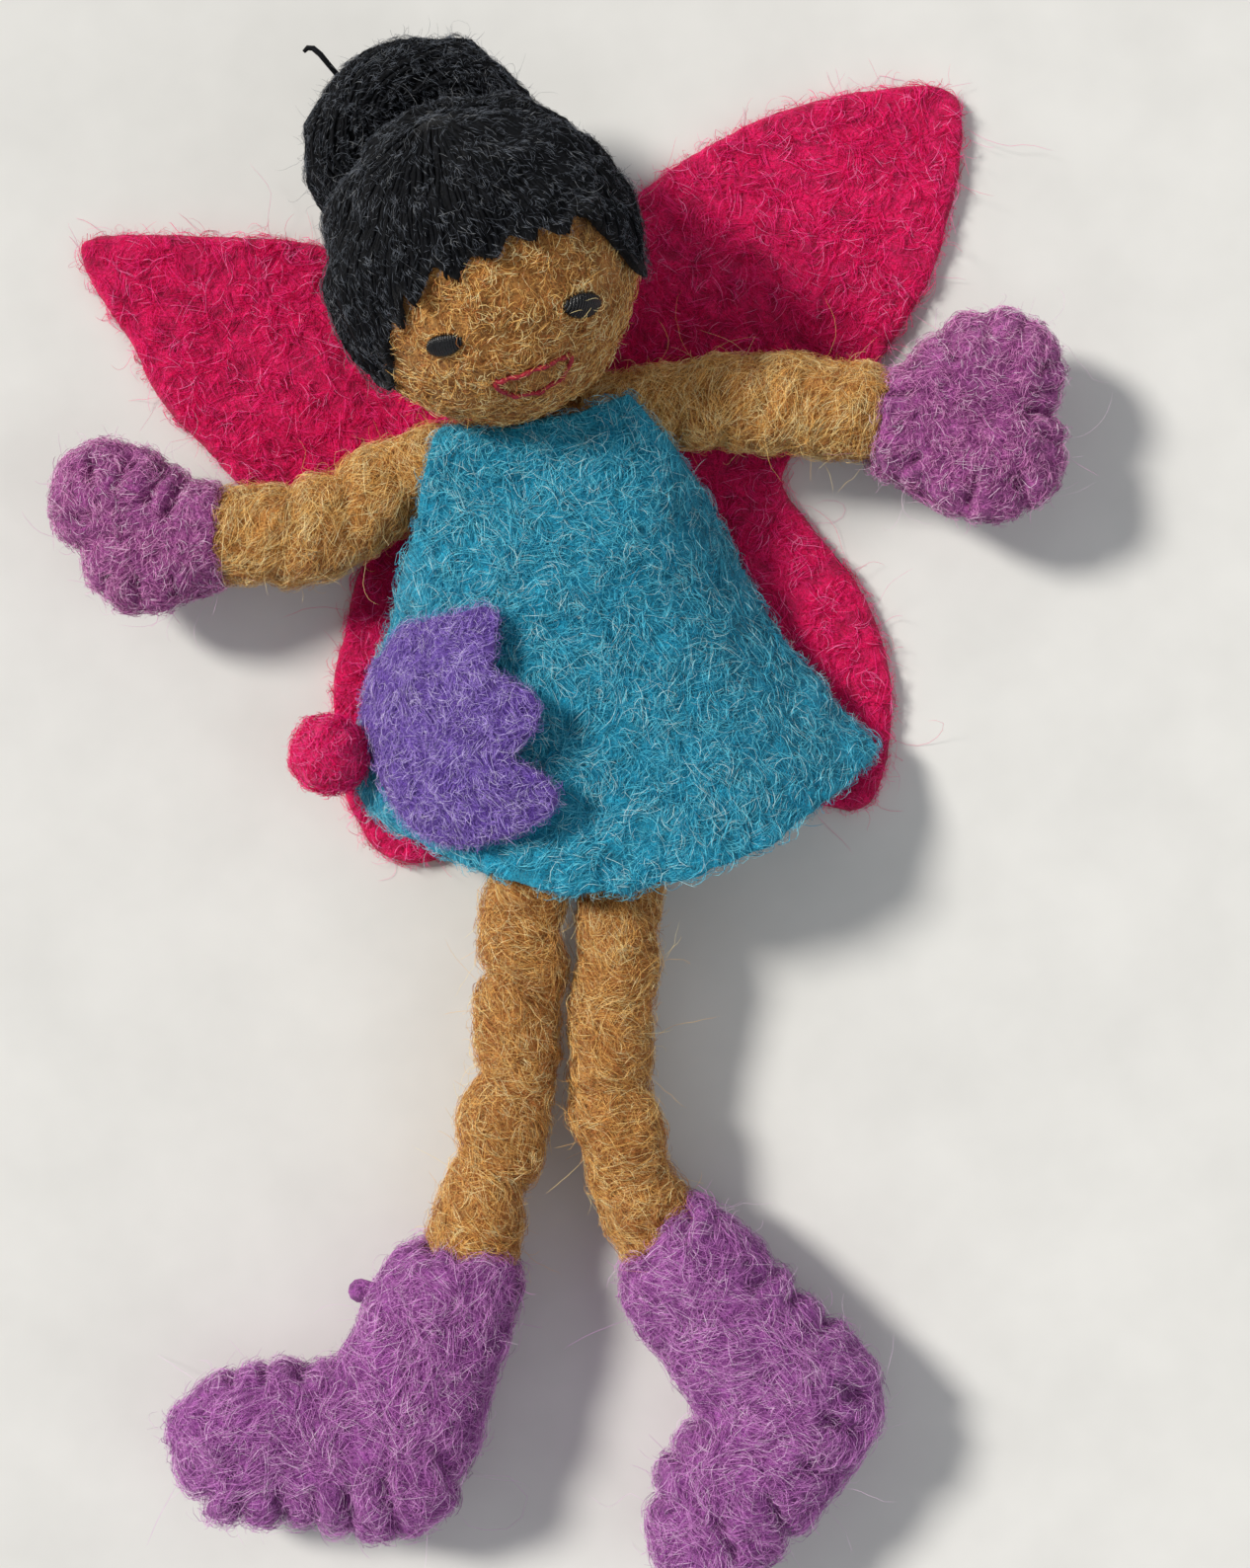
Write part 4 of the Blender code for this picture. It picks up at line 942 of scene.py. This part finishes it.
def glint_flecks(skin, count, along, keep=None, height=(0.05, 0.32)):
    """Short fibres that lie across the yarn, most of them grey; their grey is partly stray wool and partly
    painted highlight, the glint of light along black wool.
    """
    number = int(count * DENSITY / GLINT_FLECK_TUFT)
    paths, normals = creep(skin, hair_rng, number, (0.6, 1.6), 1.2, height, 4, keep, along, 0.45)
    paths = tufted(paths, normals, hair_rng, GLINT_FLECK_TUFT, 0.22)
    return hairs(paths, (0.016, 0.03), hair_rng, FIBRES, (4, 9, 1))


def hair_strays(skin, short, loose, radius, keep=None):
    """Short fluff, then a few long fibres, off the yarn: each a count, the lengths and the rise."""
    fluff = hairs(wisps(skin, hair_rng, *short, 5, keep), HAIR_WISP_RADIUS, hair_rng, (2, 3), (4, 1))
    return [fluff, hairs(wisps(skin, hair_rng, *loose, 10, keep, 3.6), radius, hair_rng, (2, 3), (1, 3))]


place("hair_yarn", [body_part(cap), yarn], BLACK, "head", "black_yarn", ["hair_cap"])
cap_outer = Skin(cap.points + cap.normals * 0.42, cap.polygons)
# Grey flecks over the hair yarn, partly painted highlight along the black wool.
cap_fluff = [glint_flecks(cap_outer, 14000, twist_down, outer_cap)]
cap_fluff += hair_strays(
    cap_outer, (900, (0.8, 2.4), 1.2), (130, (2.5, 7), 0.6), (0.018, 0.026), outer_cap,
)
place("hair_fuzz", cap_fluff, BLACK, "head", "black_yarn")

# Bun: a roll of yarn wound along its arc
bun = from_nodes(["hair_bun"], 0.5, 3)
bun = Skin(clumped(bun.points, BUN_CLUMPS), bun.polygons)
lean = np.array(Matrix.Rotation(math.radians(BUN_LEAN), 3, "X"))


def bun_place(turn, spin, radius):
    """Points round the roll, by degrees along its arc and round its section."""
    turn, spin = np.radians(turn)[..., None], np.radians(spin)[..., None]
    out = np.concatenate([np.cos(turn), np.sin(turn), 0 * turn], -1)
    local = out * (BUN_RADIUS + radius[..., None] * np.cos(spin)) + UP * radius[..., None] * np.sin(spin)
    return HEAD_CENTRE + BUN_OFFSET + local @ lean.T


def along_bun(places):
    """The way of the fibres in the yarn that winds round the roll."""
    local = (places - HEAD_CENTRE - BUN_OFFSET) @ lean
    return (np.cross(UP, local * (1, 1, 0)) * 0.12 + UP * 0.8 + unit(local)) @ lean.T


BUN_YARNS, BUN_STATIONS, BUN_TWIST, BUN_OVERLAP = 78, 30, 300, 3
one_each = (BUN_YARNS, 1)
share = np.linspace(0, 1, BUN_STATIONS)[None]
spin0 = np.linspace(0, 360, BUN_YARNS, endpoint=False)[:, None]
low, high = BUN_ARC[0] - BUN_OVERLAP, BUN_ARC[1] + BUN_OVERLAP
arc_turn = low + (high - low) * share + hair_rng.uniform(-2, 2, one_each)
arc_spin = spin0 + BUN_TWIST * share + 9 * np.sin(share * 11 + hair_rng.uniform(0, 6, one_each))
arc_radius = BUN_ROLL * (1 - 0.5 * np.exp(-np.minimum(share, 1 - share) * 26))
arc_radius = arc_radius + hair_rng.uniform(-0.2, 0.22, one_each) + 0.14 * np.sin(share * 23 + spin0)
bun_radii = hair_rng.uniform(0.24, 0.36, one_each) * np.ones((1, BUN_STATIONS))
bun_paths = bun_place(arc_turn, arc_spin, arc_radius)
bun_yarn = cords(bun_paths, bun_radii, 5, 1, shift=lambda points: clumped(points, BUN_CLUMPS))
hook = np.array([[
    (-16.6, 62.6, 13.5), (-17.3, 64.4, 15.4), (-17.9, 65.8, 16.4), (-18.6, 66.9, 17.0),
    (-19.4, 68.3, 17.2), (-20.2, 69.3, 17.0), (-20.9, 69.5, 16.9), (-21.5, 69.1, 16.8),
]])
hook_radii = np.array([[0.25, 0.36, 0.36, 0.36, 0.38, 0.38, 0.36, 0.25]])
bun_parts = [body_part(bun), bun_yarn, cords(hook, hook_radii, 6, 1, False)]
place("bun_yarn", bun_parts, BLACK, "head", "black_yarn", ["hair_bun"])
bun_outer = Skin(bun.points + bun.normals * 0.45, bun.polygons)
# Grey flecks over the bun yarn, partly painted highlight along the black wool.
bun_fluff = [glint_flecks(bun_outer, 8500, along_bun, None, (0.05, 0.36))]
bun_fluff += hair_strays(bun_outer, (1100, (0.8, 2.6), 1.4), (70, (2.5, 6), 0.7), (0.015, 0.022))
place("bun_fuzz", bun_fluff, BLACK, "head", "black_yarn")

# Eyes, satin stitches over a small pad, with skin fibres strayed over the left one
for side, (turn, down) in EYES.items():
    centre = head_place(turn, down, 0.0)
    out = unit(centre - HEAD_CENTRE)
    high = unit(np.cross(out, HEAD_SIDE))
    wide = unit(np.cross(high, out))
    tip = math.radians(EYE_TURN[side])
    wide, high = wide * math.cos(tip) + high * math.sin(tip), high * math.cos(tip) - wide * math.sin(tip)
    offset = np.linspace(-0.93, 0.93, EYE_ROWS)[:, None]
    share = np.linspace(-1, 1, EYE_STATIONS)[None]
    reach = np.sqrt(1 - offset**2)
    dome = np.sqrt(np.clip(1 - offset**2 * 0.9, 0, 1)) * np.sqrt(np.clip(1 - (share * 0.97) ** 2, 0, 1))
    swell = EYE_DEPTH * 0.85 * dome - 0.2
    paths = (
        centre
        + wide * ((offset + 0.09 * share) * EYE_HALF_WIDTH[side])[..., None]
        + high * (share * reach * EYE_HALF_HEIGHT[side])[..., None]
        + out * swell[..., None]
    )
    eye_parts = [cords(paths, EYE_THREAD, 6)]
    if side == "left":
        bow = np.linspace(-1, 1, 9)[None, :, None]
        lie = np.array((0.2, 0.5, 0.9, 0.1, 1.3, 0.4, 0.7)).reshape(-1, 1, 1)
        start = np.array((-1.7, -0.9, 0.1, 0.5, 1.5, 1.9, 1.0)).reshape(-1, 1, 1)
        level = np.array((-0.7, -1.2, -0.9, 0.8, 0.7, 0.1, -1.3)).reshape(-1, 1, 1)
        curl = head_rng.uniform(-0.8, 0.8, (7, 1, 1)) * (1 - bow**2)
        over = (
            centre
            + wide * (start + bow * np.cos(lie) * 1.1 - curl * np.sin(lie))
            + high * (level + bow * np.sin(lie) * 1.1 + curl * np.cos(lie))
            + out * (1.55 - bow**2 * 0.45 + head_rng.uniform(0, 0.2, (7, 1, 1)))
        )
        eye_parts.append(hairs(over, (0.024, 0.038), head_rng, (1,), (1,)))
    place(f"eye_{side}_stitches", eye_parts, [SATIN, TAN[3]], "head", "black_yarn", [f"eye_{side}"])

# Mouth, back-stitched thread half sunk in the wool
mouth_turn = np.linspace(0, 2 * math.pi, 97)
mouth_line = head_place(
    MOUTH_ROUND + MOUTH_HALF_ROUND * np.cos(mouth_turn),
    MOUTH_DOWN + MOUTH_OPEN * np.maximum(np.sin(mouth_turn), 0) ** 0.8,
    0.32 + 0.16 * np.sin(mouth_turn * 9),
)
mouth_radius = 0.34 + 0.06 * np.sin(mouth_turn * 17)[None]
mouth = cords(mouth_line[None], mouth_radius, 6)
near_mouth = mouth_line[head_rng.integers(2, 94, MOUTH_FLUFF)]
trail = np.cumsum(head_rng.normal(0, 0.13, (MOUTH_FLUFF, 5, 3)), axis=1)
apart = head_rng.normal(0, 0.16, (MOUTH_FLUFF, 1, 3))
near_mouth = near_mouth[:, None] + trail - trail[:, 2:3] + apart
mouth_parts = [
    mouth,
    hairs(near_mouth, (0.024, 0.04), head_rng, (0,), (1,)),
    hairs(near_mouth[:60] + 0.12, (0.026, 0.044), head_rng, (1,), (1,)),
]
place("mouth_thread", mouth_parts, [THREAD_RED, TAN[2]], "head", "red_thread", ["mouth"])


# Limbs: one skin of wrapped wool along each, split where it is rigid into pieces that each span one joint
def smooth_path(points, count):
    """Evenly spaced places on a curve through these points, with its distance along."""
    points = np.array(points, float)
    ends = np.concatenate([[2 * points[0] - points[1]], points, [2 * points[-1] - points[-2]]])
    t = np.linspace(0, 1, 40, endpoint=False)[:, None]
    curve = []
    for k in range(len(points) - 1):
        a, b, c, d = ends[k : k + 4]
        even, odd = 2 * a - 5 * b + 4 * c - d, 3 * b - a - 3 * c + d
        curve.append(0.5 * (2 * b + (c - a) * t + even * t**2 + odd * t**3))
    curve = np.concatenate(curve + [points[-1:]])
    along = np.concatenate([[0], np.cumsum(np.linalg.norm(np.diff(curve, axis=0), axis=1))])
    places = np.linspace(0, along[-1], count)
    return np.stack([np.interp(places, along, curve[:, k]) for k in range(3)], 1), places


LIMB_SIDES = 56
ARM_RADII, LEG_RADII = [4.4, 4.9, 6.1, 5.7, 4.2], [4.0, 4.4, 4.8, 4.9, 5.0, 3.8]


def limb_skin(centres, along, radii, seed, coils, pitch):
    """A closed tube with this radius at each centre, wrapped in slanting coils of wool."""
    way = unit(np.gradient(centres, axis=0))
    across = unit(np.cross(way, UP))
    over = np.cross(way, across)
    spin = np.arange(LIMB_SIDES) * 2 * math.pi / LIMB_SIDES
    ring = across[:, None] * np.cos(spin)[:, None] + over[:, None] * np.sin(spin)[:, None]
    flat = (centres[:, None] + ring * radii[:, None, None]).reshape(-1, 3)
    turn = (2 * math.pi * along[:, None] / pitch + spin[None]).reshape(-1)
    turn = turn + lumps(flat, 16, seed) * 0.9
    crest = np.abs(np.sin(turn / 2)) ** 0.7
    wraps = (crest - 0.7) * coils * (1 + 0.45 * lumps(flat, 14, seed + 1))
    wraps = wraps + lumps(flat, 5, seed + 2) * 0.14
    flat = flat + ring.reshape(-1, 3) * wraps[:, None]
    k = np.arange(LIMB_SIDES)
    n = (k + 1) % LIMB_SIDES
    r = np.arange(len(centres) - 1)[:, None] * LIMB_SIDES
    return flat, np.stack([r + k, r + n, r + LIMB_SIDES + n, r + LIMB_SIDES + k], -1)


def limb(name, joints, nodes, path, radii, seed, coils, pitch, fibres, weights):
    """joints are the limb's pivots, nodes the CAD nodes each piece stands for, path and radii its middle
    line.
    """
    count = 190 if len(joints) == 3 else 250
    centres, along = smooth_path(path, count)
    knots = np.array([np.argmin(np.linalg.norm(centres - np.array(p), axis=1)) for p in path])
    radius = np.interp(np.arange(count), knots, radii)
    points, quads = limb_skin(centres, along, radius, seed, coils, pitch)
    at = [int(np.argmin(np.linalg.norm(centres - np.array(j), axis=1))) for j in joints]
    cuts = [0] + [(a + b) // 2 for a, b in zip(at, at[1:])] + [count - 1]
    rng = np.random.default_rng(seed)
    whole = Skin(points, [quads.reshape(-1, 4)])
    way = unit(np.gradient(centres, axis=0))
    drift = swirl(10, seed + 40)

    def row_at(places):
        return np.argmin(np.linalg.norm(places[:, None] - centres[None, ::4], axis=2), axis=1) * 4

    def slanting(places):
        row = row_at(places)
        round_it = np.cross(way[row], unit(places - centres[row]))
        return way[row] * 0.6 - round_it + drift(places) * 0.5

    for k, (first, last) in enumerate(zip(cuts, cuts[1:])):
        rows = quads[first:last].reshape(-1, 4)
        base = first * LIMB_SIDES
        own = points[base : (last + 1) * LIMB_SIDES]
        low = np.arange(LIMB_SIDES)
        high = (last - first) * LIMB_SIDES + low
        hub = len(own)
        own = np.concatenate([own, [centres[first], centres[last]]])
        caps = np.concatenate([
            np.stack([np.full(LIMB_SIDES, hub), np.roll(low, -1), low], 1),
            np.stack([np.full(LIMB_SIDES, hub + 1), high, np.roll(high, -1)], 1),
        ])

        def inside(centre, normal, first=first, last=last):
            row = row_at(centre)
            return ((row >= first) & (row < last)) + 1e-9

        share = (last - first) / count
        parts = [
            (own, [rows - base, caps], [0, 0]),
            wool(
                whole, rng, fibres * share, (2.0, 5.4), (0.018, 0.038), 1.6, keep=inside, along=slanting,
                stray=0.45, height=(0.04, 0.45), weights=weights, spread=0.5,
            ),
            halo(whole, rng, 1200 * share * len(joints), inside),
            curls(whole, rng, 90 * share * len(joints), (2, 5.5), 0.8, inside),
            curls(whole, rng, 14 * len(joints) * share, (6, 13), 0.8, inside, (0, 1, 3), 4.2),
        ]
        item = place(f"{name}_wool_{k + 1}", parts, TAN, None, "tan_wool", nodes[k])
        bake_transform(item)


for side, sign, seed in (("left", 1, 61), ("right", -1, 66)):
    start = (6 * sign, SHOULDER[side][1] + 0.6, 11.8)
    end = {"left": (46.4, 10.0, 11.8), "right": (-46.2, 10.3, 11.8)}[side]
    limb(
        f"arm_{side}",
        [SHOULDER[side], ELBOW[side], WRIST[side]],
        [[], [f"upper_arm_{side}"], [f"forearm_{side}"]],
        [start, SHOULDER[side], ELBOW[side], WRIST[side], end],
        ARM_RADII,
        seed, 0.8, 9.5, 10000, (2, 5, 4),
    )
    start = (HIP[side][0] * 0.9, -17, 11.8)
    end = {"left": (-1.6, -95.0, 9.1), "right": (-31.0, -93.5, 9.1)}[side]
    limb(
        f"leg_{side}",
        [HIP[side], BEND[side], KNEE[side], ANKLE[side]],
        [[], [f"leg_top_{side}"], [f"thigh_{side}"], [f"shin_{side}"]],
        [start, HIP[side], BEND[side], KNEE[side], ANKLE[side], end],
        LEG_RADII,
        seed + 2, 1.9 if side == "right" else 1.2, 12.5, 20000, (4, 4, 2),
    )

# Mittens and boots, two felt panels whip-stitched round their edge
for (kind, side), lines in STITCHES.items():
    own_body = f"hand_{side}" if kind == "mitten" else f"foot_{side}"
    names = [f"{kind}_front_{side}", f"{kind}_back_{side}"]
    rng = np.random.default_rng(700 + len(kind) + (side == "left"))
    skin = from_nodes(names, 0.42, 5, 0.22)
    skin.move(lumps(skin.points, 6, 71) * 0.18 + lumps(skin.points, 3, 72) * 0.05)
    angle = math.radians((HAND_ANGLE if kind == "mitten" else BOOT_ANGLE)[side])
    cuff_at = (WRIST if kind == "mitten" else ANKLE)[side]
    cuff_way = np.array((math.cos(angle), math.sin(angle), 0.0))
    flare(skin, cuff_at, cuff_way, 1.2 if kind == "mitten" else 0.9, 5.5)
    if (kind, side) in SWELLS:
        pad_out(skin, *SWELLS[kind, side])
    dents(skin, lines, *STITCH_GROOVES[kind])
    combed = swirl(11 if kind == "mitten" else 15, 170 + len(kind))
    count, length, stray = (8400, (1.2, 3.0), 0.6) if kind == "mitten" else (7700, (2.0, 5.0), 0.4)
    # Sparse fibres in the stitch grooves let the darker ground show as painted shade there; the dents
    # themselves are real.
    bare = beside(lines, 0.8)
    lying = wool(skin, rng, count, length, along=combed, stray=stray, height=(0.04, 0.36), keep=bare)
    parts = [body_part(skin), lying]
    shades = LILAC if kind == "boot" else ORCHID
    if kind == "boot":
        parts.append(cords(np.array([KNOBS[side]]), KNOB_RADII, 12, 0, False))
    item = place(f"{kind}_felt_{side}", parts, shades, own_body, "lilac_felt", names)
    fluff = [
        halo(skin, rng, 2200 if kind == "mitten" else 3800),
        curls(skin, rng, 260 if kind == "mitten" else 420, (2, 5), 0.7),
        curls(skin, rng, 26, (6, 12), 1.0, at_edges, (0, 1, 3)),
    ]
    if kind == "boot":
        # The boots' top wool also stays sparse in the grooves, as painted shade there.
        over = wool(
            skin, rng, 6000, (2.4, 6.0), (0.018, 0.036), 1.4, (0.1, 0.5), along=combed, stray=0.35,
            keep=beside(lines, 0.7, True), weights=(2, 4, 1), spread=0.6,
        )
        fluff.append(over)
        if side == "right":
            fluff.append(hairs(np.array([LOOSE_LOOP]), (0.035, 0.036), rng, (3,), (1,)))
    place(f"{kind}_fuzz_{side}", fluff, shades, own_body, "lilac_felt")

# Flower and its ball
flower_rng = np.random.default_rng(808)
for half, seed in (("front", 81), ("back", 83)):
    petal = from_nodes([f"flower_{half}"], 0.42, 5)
    petal.move(lumps(petal.points, 5, seed) * 0.1)
    if half == "front":
        dents(petal, FLOWER_CREASE, *CREASE_GROOVE)
    names = [f"flower_{half}"]
    cloth = place(f"flower_{half}_felt", [body_part(petal)], VIOLET, "flower", "violet_felt", names)
    side = facing_up if half == "front" else facing_down
    lying = wool(
        petal, flower_rng, 7600 if half == "front" else 1200, (1.3, 3.4), keep=side,
        along=swirl(12, 180), stray=0.6, radius=(0.02, 0.04), weights=(3, 4, 2),
    )
    fluff = [lying, halo(petal, flower_rng, 1500, at_edges)]
    fluff.append(curls(petal, flower_rng, 120, (1.2, 3), 0.7, side))
    loose = place(f"flower_{half}_fuzz", fluff, VIOLET, "flower", "violet_felt")
    petal.area() / 2 * MM**2
ball = from_nodes(["flower_ball"], 0.4, 4)
ball.move(lumps(ball.points, 4, 85) * 0.14 + lumps(ball.points, 2.4, 86) * 0.05)
ball_parts = [
    body_part(ball),
    wool(ball, flower_rng, 3000, (1.2, 3.0), along=swirl(6, 190), stray=0.6, weights=(2, 5, 1)),
    halo(ball, flower_rng, 500),
    curls(ball, flower_rng, 60, (1.5, 3.5)),
]
ball_item = place("flower_ball_wool", ball_parts, ROSE, "flower", "pink_felt", ["flower_ball"])
